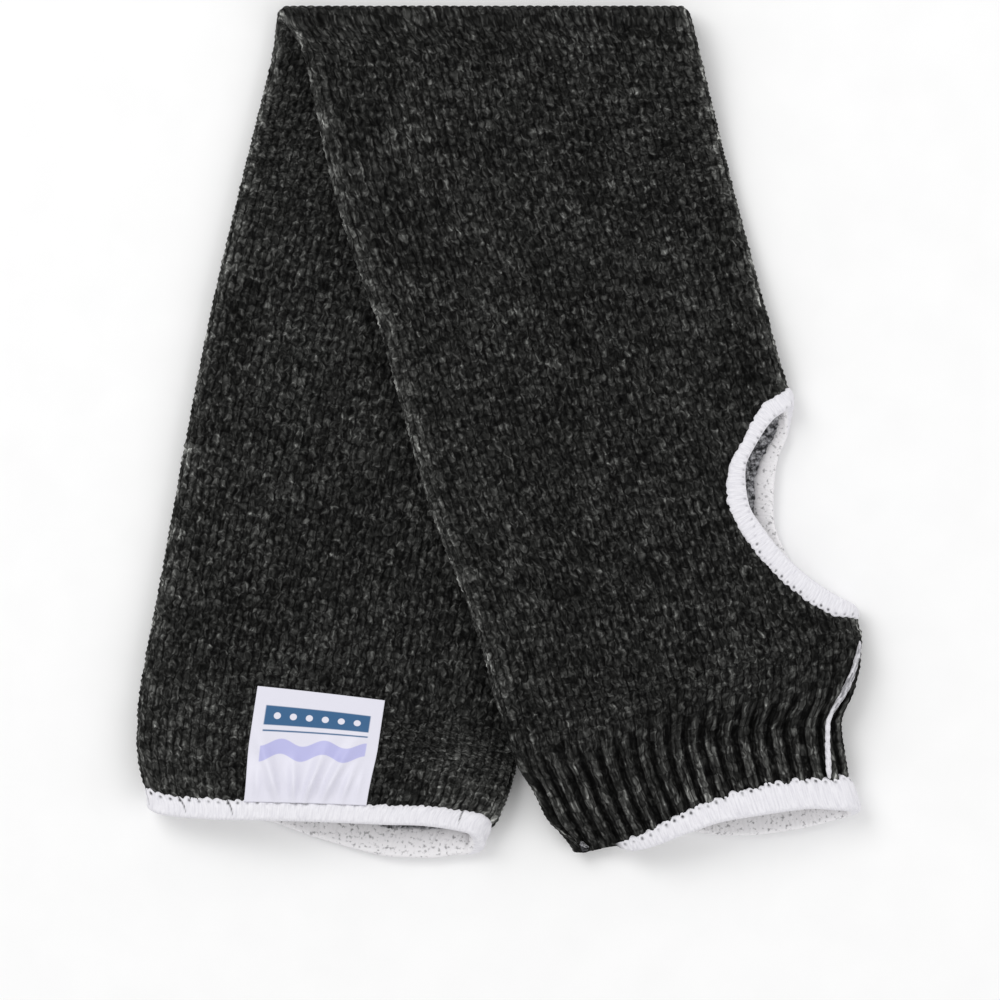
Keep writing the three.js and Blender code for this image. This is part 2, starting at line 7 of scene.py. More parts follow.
# %% Open the frame
import math
import bpy
import numpy as np
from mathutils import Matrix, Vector


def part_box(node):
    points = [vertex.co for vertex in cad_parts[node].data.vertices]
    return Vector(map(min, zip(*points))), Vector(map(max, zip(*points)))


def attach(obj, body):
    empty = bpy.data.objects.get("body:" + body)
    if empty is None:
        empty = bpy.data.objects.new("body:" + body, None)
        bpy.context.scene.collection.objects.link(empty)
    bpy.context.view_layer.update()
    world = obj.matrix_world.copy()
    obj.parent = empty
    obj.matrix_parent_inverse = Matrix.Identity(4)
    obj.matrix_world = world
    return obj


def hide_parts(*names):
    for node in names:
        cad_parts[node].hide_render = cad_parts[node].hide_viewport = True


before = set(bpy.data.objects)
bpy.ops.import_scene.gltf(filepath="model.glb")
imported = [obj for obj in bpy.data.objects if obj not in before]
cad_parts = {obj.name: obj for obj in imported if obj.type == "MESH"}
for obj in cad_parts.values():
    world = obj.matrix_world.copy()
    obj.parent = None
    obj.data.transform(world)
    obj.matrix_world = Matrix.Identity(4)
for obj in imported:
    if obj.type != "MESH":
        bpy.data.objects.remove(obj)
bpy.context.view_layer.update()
print("nodes in the frame:", ", ".join(sorted(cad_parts)))

# %% [markdown]
# The camera hangs over the table and looks straight down. A long lens far away keeps the
# perspective weak, as it is in a catalogue picture, so both legs of the fold keep their true
# shape. The width that it sees sets how far up it hangs.

# %% Camera
LENS_MM = 300.0
SENSOR_MM = 36.0
SEEN_WIDTH = 0.270
SEEN_HEIGHT_OF_CLOTH = 0.010
AIM = Vector((0.0000, -0.01835, SEEN_HEIGHT_OF_CLOTH))

camera_data = bpy.data.cameras.new("camera")
camera_data.lens = LENS_MM
camera_data.sensor_width = SENSOR_MM
camera_data.clip_end = 20.0
camera = bpy.data.objects.new("camera", camera_data)
camera.location = AIM + Vector((0, 0, SEEN_WIDTH * LENS_MM / SENSOR_MM))
bpy.context.scene.collection.objects.link(camera)
bpy.context.scene.camera = camera
print("camera height in m:", round(camera.location.z, 3))

# %% [markdown]
# White cloth on a white table needs soft light from all round, with one side a little stronger
# so that stitches and ribs still throw small shadows. A bright sky gives the first, and two
# broad panels the second.

# %% Light
SKY_STRENGTH = 0.65
PANELS = {
    "key_panel": {"place": (-0.9, 0.9, 1.5), "size": 1.1, "watts": 15.0},
    "side_panel": {"place": (1.3, -0.5, 1.2), "size": 1.2, "watts": 6.5},
}

world = bpy.data.worlds.new("studio")
world.use_nodes = True
world.node_tree.nodes["Background"].inputs["Color"].default_value = (1.0, 1.0, 1.0, 1.0)
world.node_tree.nodes["Background"].inputs["Strength"].default_value = SKY_STRENGTH
bpy.context.scene.world = world
bpy.context.scene.view_settings.view_transform = "Standard"

for panel_name, panel in PANELS.items():
    lamp = bpy.data.lights.new(panel_name, "AREA")
    lamp.size = panel["size"]
    lamp.energy = panel["watts"]
    holder = bpy.data.objects.new(panel_name, lamp)
    holder.location = panel["place"]
    holder.rotation_euler = (-Vector(panel["place"])).to_track_quat("-Z", "Y").to_euler()
    bpy.context.scene.collection.objects.link(holder)
    print(panel_name, "at", panel["place"])

# %% [markdown]
# Every finish here is built from nodes. This small helper keeps the recipes short: each call adds
# one node and gives back its output, and a number or another output can go into any input.

# %% A short hand for material nodes
class Finish:
    def __init__(self, name, roughness, sheen=0.0, specular=0.3):
        self.material = bpy.data.materials.new(name)
        self.material.use_nodes = True
        self.tree = self.material.node_tree
        self.surface = self.tree.nodes["Principled BSDF"]
        self.surface.inputs["Roughness"].default_value = roughness
        self.surface.inputs["Specular IOR Level"].default_value = specular
        self.surface.inputs["Sheen Weight"].default_value = sheen

    def feed(self, socket, value):
        if isinstance(value, bpy.types.NodeSocket):
            self.tree.links.new(value, socket)
        elif value is not None:
            socket.default_value = value

    def math(self, operation, a, b=None, c=None, clamp=False):
        node = self.tree.nodes.new("ShaderNodeMath")
        node.operation = operation
        node.use_clamp = clamp
        for socket, value in zip(node.inputs, (a, b, c)):
            self.feed(socket, value)
        return node.outputs[0]

    def map_layer(self, name):
        node = self.tree.nodes.new("ShaderNodeUVMap")
        node.uv_map = name
        split = self.tree.nodes.new("ShaderNodeSeparateXYZ")
        self.feed(split.inputs[0], node.outputs[0])
        return split.outputs[0], split.outputs[1]

    def mark(self, name):
        node = self.tree.nodes.new("ShaderNodeAttribute")
        node.attribute_name = name
        return node.outputs["Fac"]

    def place(self, x, y, z=0.0):
        node = self.tree.nodes.new("ShaderNodeCombineXYZ")
        for socket, value in zip(node.inputs, (x, y, z)):
            self.feed(socket, value)
        return node.outputs[0]

    def object_place(self):
        return self.tree.nodes.new("ShaderNodeTexCoord").outputs["Object"]

    def dice(self, place):
        node = self.tree.nodes.new("ShaderNodeTexWhiteNoise")
        node.noise_dimensions = "3D"
        self.feed(node.inputs["Vector"], place)
        return node.outputs["Value"]

    def cloud(self, place, scale, detail=2.0, roughness=0.5):
        node = self.tree.nodes.new("ShaderNodeTexNoise")
        self.feed(node.inputs["Vector"], place)
        node.inputs["Scale"].default_value = scale
        node.inputs["Detail"].default_value = detail
        node.inputs["Roughness"].default_value = roughness
        return node.outputs["Fac"]

    def step(self, value, low, high):
        node = self.tree.nodes.new("ShaderNodeMapRange")
        node.interpolation_type = "SMOOTHSTEP"
        for socket, number in zip(node.inputs, (value, low, high, 0.0, 1.0)):
            self.feed(socket, number)
        return node.outputs[0]

    def blend(self, share, first, second):
        node = self.tree.nodes.new("ShaderNodeMix")
        node.data_type = "RGBA"
        self.feed(node.inputs[0], share)
        self.feed(node.inputs[6], first)
        self.feed(node.inputs[7], second)
        return node.outputs[2]

    def shade(self, value, stops):
        node = self.tree.nodes.new("ShaderNodeValToRGB")
        ramp = node.color_ramp
        while len(ramp.elements) < len(stops):
            ramp.elements.new(0.5)
        for element, (position, grey) in zip(ramp.elements, stops):
            element.position = position
            element.color = (*grey, 1.0)
        self.feed(node.inputs[0], value)
        return node.outputs[0]

    def relief(self, height, strength, distance):
        node = self.tree.nodes.new("ShaderNodeBump")
        node.inputs["Strength"].default_value = strength
        node.inputs["Distance"].default_value = distance
        self.feed(node.inputs["Height"], height)
        self.feed(self.surface.inputs["Normal"], node.outputs[0])

    def colour(self, value):
        self.feed(self.surface.inputs["Base Color"], value)


print("finish helper ready")

# %% [markdown]
# The table is one large plane. It isn't part of the sleeve. It sits a hair below zero, because the
# stitches under the cloth stand a little proud.

# %% Table
TABLE_HALF_WIDTH = 4.0
TABLE_LEVEL = -0.0005

table_finish = Finish("pale_table", roughness=0.9, specular=0.1)
speckle = table_finish.cloud(table_finish.object_place(), 60.0)
table_finish.colour(table_finish.shade(speckle, [(0.3, (0.95,) * 3), (0.7, (0.97,) * 3)]))
corners = [(-1, -1), (1, -1), (1, 1), (-1, 1)]
table_mesh = bpy.data.meshes.new("table")
table_points = [(TABLE_HALF_WIDTH * x, TABLE_HALF_WIDTH * y, TABLE_LEVEL) for x, y in corners]
table_mesh.from_pydata(table_points, [], [(0, 1, 2, 3)])
table_mesh.materials.append(table_finish.material)
table = bpy.data.objects.new("table", table_mesh)
bpy.context.scene.collection.objects.link(table)
print("table level in mm:", 1000 * TABLE_LEVEL)

# %% [markdown]
# The sleeve is one knitted tube, so everything on it is placed the way a knitter would say it:
# how far along the sleeve, how far round it, and how high over the outer face. The sizes are those
# that the frame was built from, in millimetres, so the stitches land where its solids are.

# %% Sizes of the tube
ARM_REACH = 233.0
CUFF_REACH = 228.0
HALF_WIDTH = 53.0
WALL = 1.8
RIBBED_LENGTH = 41.0
RIB_START = CUFF_REACH - RIBBED_LENGTH
print("length of the cloth in mm:", ARM_REACH + CUFF_REACH)

# %% [markdown]
# Many sizes change along the sleeve or across it. They stand in short tables, which are read on
# smooth curves that never swing past a row. It all works on whole arrays of points at once,
# because the knit has hundreds of thousands of them and a loop would take minutes.

# %% Reading the tables
def columns_of(names, rows):
    return dict(zip(names.split(), np.array(rows, float).T))


def smooth(share):
    t = np.clip(share, 0.0, 1.0)
    return t * t * (3 - 2 * t)


def read(columns, column, at):
    """Reads a column of a table. Its first column says where each row lies."""
    places, values = next(iter(columns.values())), columns[column]
    slopes = np.diff(values) / np.diff(places)
    before, after = slopes[:-1], slopes[1:]
    agree = before * after > 0
    middle = np.where(agree, 2 * before * after / np.where(agree, before + after, 1.0), 0.0)
    tangents = np.concatenate([[0.0], middle, [0.0]])
    at = np.clip(at, places[0], places[-1])
    row = np.clip(np.searchsorted(places, at, side="right") - 1, 0, len(places) - 2)
    width = np.diff(places)[row]
    t = (at - places[row]) / width
    return (
        (2 * t**3 - 3 * t**2 + 1) * values[row]
        + (t**3 - 2 * t**2 + t) * width * tangents[row]
        + (3 * t**2 - 2 * t**3) * values[row + 1]
        + (t**3 - t**2) * width * tangents[row + 1]
    )


print("a quarter of the way up a smooth step:", float(smooth(0.25)))

# %% [markdown]
# In the first table each row is one place along the sleeve: -1 is the upper arm mouth, 0 the fold
# and 1 the wrist mouth. left and right are shares of half the width, puff says how far the two
# walls stand apart in the middle, and rim how round the side edges are.

# %% Table of cross sections
SECTIONS = columns_of("along left right puff rim", [
    (-1.0, 0.92, 0.745, 0.75, 1.0),
    (-0.974, 0.98, 0.812, 0.8, 0.95),
    (-0.93, 1.036, 0.855, 0.88, 0.8),
    (-0.87, 1.056, 0.876, 0.95, 0.6),
    (-0.7, 1.04, 0.91, 1.0, 0.35),
    (-0.45, 1.038, 0.965, 0.95, 0.25),
    (-0.25, 1.02, 0.995, 0.6, 0.15),
    (-0.06, 1.008, 1.01, 0.0, 0.0),
    (0.0, 1.03, 1.01, 0.0, 0.0),
    (0.06, 0.958, 1.012, 0.0, 0.0),
    (0.2, 0.977, 1.012, 0.45, 0.15),
    (0.36, 0.93, 1.012, 0.7, 0.4),
    (0.53, 0.94, 1.012, 0.8, 0.8),
    (0.72, 0.896, 1.012, 0.8, 0.85),
    (0.81, 0.917, 1.012, 0.8, 0.85),
    (0.846, 0.917, 0.965, 0.8, 0.9),
    (0.877, 0.915, 0.885, 0.8, 0.95),
    (0.908, 0.88, 0.768, 0.8, 1.0),
    (0.943, 0.862, 0.733, 0.8, 1.0),
    (1.0, 0.82, 0.7, 0.75, 1.0),
])
for part_name, along in (("arm leg", -0.5), ("thumb hole", 0.6)):
    shares = read(SECTIONS, "left", along) + read(SECTIONS, "right", along)
    print("width at the", part_name, "in mm:", round(float(HALF_WIDTH * shares), 1))

# %% [markdown]
# A cross section of the flat tube is two walls joined by two round side edges. From it comes
# each point's place across the leg and its depth, and which way out of the cloth it faces. The
# last number says how far to the outside of the fold it lies: 1 on the outer wall, 0 on the inner.

# %% Cross sections
FOLD_RIM = 0.7
MOUTH_RIM = 2.6
PUFF_HEIGHT = 5.0


def section_at(station):
    along = np.where(station < 0, station / ARM_REACH, station / CUFF_REACH)
    rim = WALL + FOLD_RIM + (MOUTH_RIM - FOLD_RIM) * read(SECTIONS, "rim", along)
    left = -HALF_WIDTH * read(SECTIONS, "left", along)
    right = HALF_WIDTH * read(SECTIONS, "right", along)
    arc = math.pi / 2 * rim
    return {
        "left": left, "right": right, "rim": rim, "arc": arc,
        "puff": PUFF_HEIGHT * read(SECTIONS, "puff", along),
        "half": 2 * arc + right - left - 2 * rim,
    }


def thickness(section, across):
    middle = (section["left"] + section["right"]) / 2
    reach = (section["right"] - section["left"]) / 2 - section["rim"]
    share = np.minimum(1.0, np.abs(across - middle) / reach)
    return 2 * section["rim"] + section["puff"] * (1 - share**4) ** 1.5


print("thickness of a side edge at a mouth in mm:", 2 * (WALL + MOUTH_RIM))

# %% Places round a cross section
def around_section(section, girth):
    sign = np.where(girth < 0, -1.0, 1.0)
    far = np.abs(girth)
    rim, arc, half = section["rim"], section["arc"], section["half"]
    near_turn = girth / rim
    far_turn = (far - half + arc) / rim
    flat_across = section["right"] - rim - (far - arc)
    cases = [far < arc, far <= half - arc]

    def pick(near, flat, far_side):
        return np.select(cases, [near, flat], far_side)

    across = pick(
        section["right"] - rim + rim * np.cos(near_turn),
        flat_across,
        section["left"] + rim - rim * np.sin(far_turn),
    )
    depth = pick(
        rim + rim * np.sin(near_turn),
        np.where(sign > 0, thickness(section, flat_across), 0.0),
        rim + sign * rim * np.cos(far_turn),
    )
    out_across = pick(np.cos(near_turn), np.zeros_like(girth), -np.sin(far_turn))
    out_depth = pick(np.sin(near_turn), sign, sign * np.cos(far_turn))
    return across, depth, out_across, out_depth, (1 + out_depth) / 2


widest = section_at(np.array([0.0]))
print("way round the tube at the fold in mm:", round(float(2 * widest["half"][0]), 1))

# %% [markdown]
# Both mouths are cut straight across, but in the folded sleeve they look slanted, because their
# lips draw back by different amounts across the leg. So each mouth has a table of its own. The
# last stretch, which the edging grips, is moved as one. The hem of the wrist is pulled under the
# leg at its far corner: tuck says how far it turns, and cover how broad its edging is there.

# %% The two mouths
EDGE_COVER = 3.9
CLEARANCE = 0.35
DRAW_SHARE = 0.8
ARM_SLANT = 16.0
CUFF_SLANT = 6.0
ARM_MOUTH = columns_of("across over under", [
    (-0.88, 0.0, 0.09), (-0.66, 0.09, 0.19), (-0.36, 0.3, 0.3), (-0.07, 0.5, 0.2),
    (0.23, 0.69, 0.15), (0.5, 0.86, 0.3), (0.7, 0.91, 0.52),
])
CUFF_MOUTH = columns_of("across over under tuck cover", [
    (-0.6, 0.05, 0.7, 1.0, 0.35),
    (-0.45, 0.1, 0.95, 0.6, 0.55),
    (-0.17, 0.5, 0.48, 0.1, 1.0),
    (0.0, 0.63, -0.05, 0.0, 1.15),
    (0.2, 0.52, -0.4, 0.0, 1.5),
    (0.45, 0.3, -0.55, 0.0, 1.7),
    (0.66, -0.1, -0.45, 0.0, 1.7),
])
LONGEST_COVER = EDGE_COVER * CUFF_MOUTH["cover"].max()
STRAIGHT_END = LONGEST_COVER + CLEARANCE + 1


def slide(station, across, outside):
    """Moves a place along the sleeve by as much as its mouth draws back there."""
    arm = station < 0
    far = np.abs(station)
    reach = np.where(arm, ARM_REACH, CUFF_REACH)
    place = across / HALF_WIDTH
    over = np.where(arm, read(ARM_MOUTH, "over", place), read(CUFF_MOUTH, "over", place))
    under = np.where(arm, read(ARM_MOUTH, "under", place), read(CUFF_MOUTH, "under", place))
    showing = np.where(arm, 1 - outside, outside)
    back = np.where(arm, ARM_SLANT, CUFF_SLANT) * (under + (over - under) * showing)
    start = DRAW_SHARE * reach
    share = smooth((far - start) / (reach - STRAIGHT_END - start))
    return np.where(arm, -1.0, 1.0) * (far - back * share)


print("broadest edging in mm:", round(float(LONGEST_COVER), 2))

# %% [markdown]
# The fold is a roll that turns the cuff leg back over the arm leg. The two legs part like
# scissors, since the roll leans across the sleeve. Near the roll the rows of stitches lie square to
# it, further out square to their leg, and the change between them is spread over the turn length.

# %% The fold
LEAN = math.radians(13.3)
LAYER_GAP = 1.2
SQUARE_LENGTH = 9.0
TURN_LENGTH = 61.0
FOLD_THICKNESS = 2 * (WALL + FOLD_RIM)
ROLL_LENGTH = math.pi * (LAYER_GAP + FOLD_THICKNESS) / 2
ROLL_END = ROLL_LENGTH / 2 / math.cos(LEAN)


def shear(station, across):
    share = 1 - smooth((np.abs(station) - ROLL_END - SQUARE_LENGTH) / TURN_LENGTH)
    return across * math.tan(LEAN) * share


print("length of cloth in the roll in mm:", round(ROLL_LENGTH, 2))

# %% [markdown]
# The cuff leg rests on the arm leg, and beyond its side it hangs down to the table. To know how
# high it lies, the place below it is traced back to its station on the arm leg, in a few rounds.

# %% Height that the cuff leg rests at
ARM_SWAY = 12.7
DROP_REACH = 24.0
TRACE_ROUNDS = 12


def rest_height(x, y):
    run = np.maximum(0.0, -y)
    level = x - ARM_SWAY * (run / ARM_REACH) ** 2
    turn = -run - ROLL_LENGTH / 2
    along = turn * math.cos(LEAN) + level * math.sin(LEAN)
    across = level * math.cos(LEAN) - turn * math.sin(LEAN)
    station = along
    for _ in range(TRACE_ROUNDS):
        here = np.minimum(-0.01, station)
        station = station + along - slide(here, across, 0.0) - shear(here, across)
    section = section_at(np.clip(station, -ARM_REACH, 0.0))
    on_wall = np.clip(across, section["left"] + section["rim"], section["right"] - section["rim"])
    past = np.maximum(0.0, across - section["right"])
    return (thickness(section, on_wall) + LAYER_GAP) * (1 - smooth(past / DROP_REACH))


heights = rest_height(np.array([0.0, 60.0, 80.0]), np.array([-100.0, -100.0, -100.0]))
print("height under the cuff leg, over the arm leg and past its side, in mm:", np.round(heights, 1))

# %% [markdown]
# Laying down is then one function: the arm leg goes on the table, the middle rolls over, and the
# cuff leg comes back on top. Where an edging is thicker than the cloth, the cloth stands up a
# little, so that the edging rests on the table.

# %% Laying the sleeve down
CUFF_SWAY = 12.9
EDGE_STAND = 1.1
HEM_RISE = 10.0
CUFF_RISE_FROM = 0.25
CUFF_RISE_OVER = 0.2


def standing(station):
    arm = smooth((-station - ARM_REACH + STRAIGHT_END + HEM_RISE) / HEM_RISE)
    cuff = smooth((station / CUFF_REACH - CUFF_RISE_FROM) / CUFF_RISE_OVER)
    return EDGE_STAND * np.where(station < 0, arm, cuff)


def lay(station, along, across, depth, section):
    turn = along * math.cos(LEAN) - across * math.sin(LEAN)
    level = across * math.cos(LEAN) + along * math.sin(LEAN)
    run = np.abs(turn) - ROLL_LENGTH / 2
    angle = math.pi * (turn / ROLL_LENGTH + 0.5)
    radius = LAYER_GAP / 2 + depth
    axis = FOLD_THICKNESS + LAYER_GAP / 2
    arm_x = level + ARM_SWAY * (run / ARM_REACH) ** 2
    cuff_x = level + CUFF_SWAY * (run / CUFF_REACH) ** 2
    cases = [run <= 0, turn < 0]
    x = np.select(cases, [level, arm_x], cuff_x)
    y = np.select(cases, [radius * np.sin(angle), -run], -run)
    z = np.select(
        cases,
        [axis - radius * np.cos(angle), thickness(section, across) - depth + standing(station)],
        rest_height(x, -run) + depth + standing(station),
    )
    return np.stack([x, y, z], axis=-1)


print("standing height at the wrist in mm:", float(standing(np.array(CUFF_REACH))))

# %% [markdown]
# One more turn comes before the laying down: at its far corner the wrist mouth curls in under
# itself. The curl is a short bend, and what lies past the bend goes on straight.

# %% A point on the sleeve
TUCK_ANGLE = math.radians(38)
TUCK_BEND = 6.0
LEAST_TUCK = 0.01


def sleeve_point(station, girth, height):
    """Place of a point on the laid sleeve. height is over the outer face, and below it inside."""
    station, girth, height = np.broadcast_arrays(
        np.asarray(station, float), np.asarray(girth, float), np.asarray(height, float))
    section = section_at(station)
    across, depth, out_across, out_depth, outside = around_section(section, girth)
    along = slide(station, across, outside) + shear(station, across)
    tuck = np.where(station > 0, read(CUFF_MOUTH, "tuck", across / HALF_WIDTH), 0.0)
    angle = TUCK_ANGLE * tuck * outside
    turned = station - (CUFF_REACH - STRAIGHT_END - TUCK_BEND)
    bends = (angle >= LEAST_TUCK) & (turned > 0)
    radius = TUCK_BEND / np.where(bends, angle, 1.0)
    bent = np.minimum(turned, TUCK_BEND)
    straight = turned - bent
    now = np.where(bends, bent / radius, 0.0)
    forward = radius * np.sin(now) + straight * np.cos(now) - turned + height * np.sin(now)
    inward = radius * (1 - np.cos(now)) + straight * np.sin(now) - height * np.cos(now)
    forward = np.where(bends, forward, 0.0)
    inward = np.where(bends, inward, -height)
    return lay(station, along + forward, across - out_across * inward, depth - out_depth * inward, section)


print("a point on the fold in mm:", np.round(sleeve_point(0.0, -HALF_WIDTH, 0.0), 1))

# %% [markdown]
# The frame's own tube tells where all this lies. The bare outer face is laid down once, and the
# middle of its box is set against the box of the frame's tube. Their sizes should agree.

# %% Setting it against the frame
stations, shares = np.meshgrid(np.linspace(-ARM_REACH, CUFF_REACH, 500), np.linspace(-1, 1, 400))
bare = sleeve_point(stations, shares * section_at(stations)["half"], 0.0).reshape(-1, 3)
tube_low, tube_high = (1000 * np.array(corner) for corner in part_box("knit_tube"))
SHIFT = (tube_low + tube_high) / 2 - (bare.min(0) + bare.max(0)) / 2
SHIFT[2] = 0.0
print("box of the laid face:", np.round(bare.max(0) - bare.min(0), 2))
print("box of the frame's tube:", np.round(tube_high - tube_low, 2))
print("shift in mm:", np.round(SHIFT, 3))


def in_frame(points):
    return (points + SHIFT) / 1000


# %% [markdown]
# Every piece of thread or cloth here is a lattice: rows and columns of points that are laid down
# by the one function above. Real loops of yarn would need far more faces. This helper collects
# lattices, joins them with triangles and makes one closed mesh of them. Each corner also gets a
# place on the stitch map, which the finishes read, and a mark that tells them something special.

# %% Meshes from lattices
MM = 0.001


class Cloth:
    """Collects points and triangles, with a place on the stitch map for every corner."""

    def __init__(self):
        self.points, self.faces, self.maps, self.slots, self.marks = [], [], [], [], []
        self.count = 0

    def add(self, points, marks):
        flat = points.reshape(-1, 3)
        first = self.count
        self.count += len(flat)
        self.points.append(flat)
        self.marks.append(np.broadcast_to(marks, points.shape[:-1]).reshape(-1))
        return first + np.arange(len(flat)).reshape(points.shape[:-1])

    def triangles(self, faces, maps, slot):
        faces = np.asarray(faces).reshape(-1, 3)
        whole = (faces[:, 0] != faces[:, 1]) & (faces[:, 1] != faces[:, 2]) & (faces[:, 0] != faces[:, 2])
        self.faces.append(faces[whole])
        self.maps.append(np.broadcast_to(maps, (len(faces), 3, 2))[whole])
        self.slots.append(np.full(int(whole.sum()), slot))

    def sheet_of(self, numbers, maps, slot, keep=None, flip=False):
        """Joins a grid of point numbers. keep says which of its squares are wanted."""
        a, b, c, d = numbers[:-1, :-1], numbers[:-1, 1:], numbers[1:, 1:], numbers[1:, :-1]
        ma, mb, mc, md = maps[:-1, :-1], maps[:-1, 1:], maps[1:, 1:], maps[1:, :-1]
        if flip:
            b, d, mb, md = d, b, md, mb
        faces = np.stack([np.stack([a, b, c], -1), np.stack([a, c, d], -1)], 2)
        places = np.stack([np.stack([ma, mb, mc], -2), np.stack([ma, mc, md], -2)], 2)
        if keep is not None:
            faces, places = faces[keep], places[keep]
        self.triangles(faces.reshape(-1, 3), places.reshape(-1, 3, 2), slot)

    def zip(self, row_a, row_b, slot, place=(0.0, 0.0)):
        """Joins two rows with different numbers of points, by their shares of the way."""
        faces, a, b = [], 0, 0
        while a + 1 < len(row_a) or b + 1 < len(row_b):
            if (a + 1) / (len(row_a) - 1) <= (b + 1) / (len(row_b) - 1):
                faces.append((row_a[a], row_a[a + 1], row_b[b]))
                a += 1
            else:
                faces.append((row_a[a], row_b[b + 1], row_b[b]))
                b += 1
        self.triangles(faces, np.array(place), slot)

    def make(self, name, materials):
        points = in_frame(np.concatenate(self.points))
        faces = np.concatenate(self.faces)
        a, b, c = (points[faces[:, i]] for i in range(3))
        maps, slots = np.concatenate(self.maps), np.concatenate(self.slots)
        if (a * np.cross(b, c)).sum() < 0:
            faces, maps = faces[:, ::-1], maps[:, ::-1]
        mesh = bpy.data.meshes.new(name)
        mesh.vertices.add(len(points))
        mesh.vertices.foreach_set("co", points.astype(np.float32).ravel())
        mesh.loops.add(faces.size)
        mesh.loops.foreach_set("vertex_index", faces.astype(np.int32).ravel())
        mesh.polygons.add(len(faces))
        mesh.polygons.foreach_set("loop_start", np.arange(0, faces.size, 3, dtype=np.int32))
        mesh.polygons.foreach_set("material_index", slots.astype(np.int32))
        mesh.polygons.foreach_set("use_smooth", np.ones(len(faces), bool))
        mesh.uv_layers.new(name="stitches").data.foreach_set("uv", maps.astype(np.float32).ravel())
        layer = mesh.attributes.new("mark", "FLOAT", "POINT")
        layer.data.foreach_set("value", np.concatenate(self.marks).astype(np.float32))
        for material in materials:
            mesh.materials.append(material)
        mesh.update()
        mesh.validate()
        piece = bpy.data.objects.new(name, mesh)
        bpy.context.scene.collection.objects.link(piece)
        print(name, "has", len(mesh.polygons), "triangles")
        return piece


print("mesh helper ready")

# %% [markdown]
# Handwork is uneven, and knitting is too. This scatter looks random but always comes out the same
# for the same stitch, so neighbouring pieces agree and a new run makes the same sleeve.

# %% Unevenness
SCATTER_STEPS = (127.1, 311.7, 74.7)
SCATTER_SPREAD = 43758.5453


def scatter(*numbers):
    """A fixed scatter between 0 and 1 for every whole numbered place."""
    mixed = sum(np.asarray(n, float) * k for n, k in zip(numbers, SCATTER_STEPS))
    return np.modf(np.abs(np.sin(mixed) * SCATTER_SPREAD))[0]


print("scatter of the first five stitches:", np.round(scatter(np.arange(5), 0), 2))


# %% [markdown]
# The thumb hole is a slit in the side, held open by the fullness of its two lips. Each lip is a bow
# with a fullness of its own from the table. Near the upper end the lips of the frame are simpler,
# so here they follow the real ones up to a millimetre and a half more closely.

# %% Lips of the thumb hole
PLAIN_BAND = 6.5
HOLE_LENGTH = 60.0
HOLE_DEPTH_OVER = 23.0
HOLE_DEPTH_UNDER = 20.0
HOLE_END = RIB_START - PLAIN_BAND
HOLE_START = HOLE_END - HOLE_LENGTH
HOLE_LIPS = columns_of("along over under", [
    (0.0, 0.36, 0.3), (0.06, 0.85, 0.38), (0.15, 0.95, 0.47), (0.25, 1.05, 0.67), (0.42, 1.03, 0.82),
    (0.56, 0.93, 0.91), (0.72, 0.82, 0.93), (0.84, 0.71, 0.81), (0.94, 0.57, 0.65), (1.0, 0.4, 0.45),
])


def hole_lips(station):
    share = np.clip((station - HOLE_START) / HOLE_LENGTH, 0.0, 1.0)
    bow = np.sqrt(4 * share * (1 - share))
    over = HOLE_DEPTH_OVER * bow * read(HOLE_LIPS, "over", share)
    under = HOLE_DEPTH_UNDER * bow * read(HOLE_LIPS, "under", share)
    return over, under


print("thumb hole from", HOLE_START, "to", HOLE_END, "mm along the sleeve")

# %% [markdown]
# The hole is cut after knitting, so the stitch columns run straight up to it and stop. In the
# lattice every point that falls inside the hole goes to the nearest lip, and the squares between
# the two lips are left out. The lips come back too, so that outer and inner face can be joined.

# %% A face of the knit
LIP_MARGIN = 0.2


def knit_face(cloth, station, share, height, maps, mark, slot, inner=False):
    """Lays one face of the knit and gives back its rows and the two lips of the hole, if any."""
    columns = share.shape[1] - 1
    girth = share * section_at(station)["half"]
    row_station = station.mean(axis=1)
    over, under = hole_lips(row_station)
    cut = (row_station > HOLE_START + LIP_MARGIN) & (row_station < HOLE_END - LIP_MARGIN)
    numbers = cloth.add(sleeve_point(station, girth, height)[:, :columns], mark[:, :columns])
    numbers = np.concatenate([numbers, numbers[:, :1]], axis=1)
    split = columns // 2
    keep = np.ones((station.shape[0] - 1, columns), bool)
    lips = None
    if cut.any():
        rows = np.flatnonzero(cut)
        level = np.full(len(rows), -WALL if inner else 0.0)
        lip_over = cloth.add(sleeve_point(row_station[rows], over[rows], level), 0.0)
        lip_under = cloth.add(sleeve_point(row_station[rows], -under[rows], level), 0.0)
        for row, upper, lower in zip(rows, lip_over, lip_under):
            above = (girth[row] >= 0) & (girth[row] < over[row])
            below = (girth[row] < 0) & (-girth[row] < under[row])
            above[split] = below[split - 1] = True
            numbers[row, above] = upper
            numbers[row, below] = lower
        first, last = rows[0] - 1, rows[-1] + 1
        keep[first:last, split - 1] = False
        lips = (
            np.concatenate([[numbers[first, split]], lip_over, [numbers[last, split]]]),
            np.concatenate([[numbers[first, split - 1]], lip_under, [numbers[last, split - 1]]]),
        )
    cloth.sheet_of(numbers, maps, slot, keep, flip=inner)
    return numbers, lips


print("knit faces ready")

# %% [markdown]
# The yarn is a dark heather: charcoal fibres twisted with a few white ones. Its noises are read on
# the stitch map, not in space, so that they follow the yarn: finer across the stitch columns than
# along them. First the map itself is bent a little, or the stitches would look ruled.

# %% Noises of the heather yarn
BEND_ACROSS, BEND_ALONG = 0.8, 1.6

heather = Finish("heather_knit", roughness=0.95, sheen=0.0, specular=0.08)
wale, course = heather.map_layer("stitches")


def wander(scale, shift):
    place = heather.place(
        heather.math("MULTIPLY", wale, scale), heather.math("MULTIPLY", course, scale), shift)
    return heather.math("SUBTRACT", heather.cloud(place, 1.0, detail=1.0), 0.5)


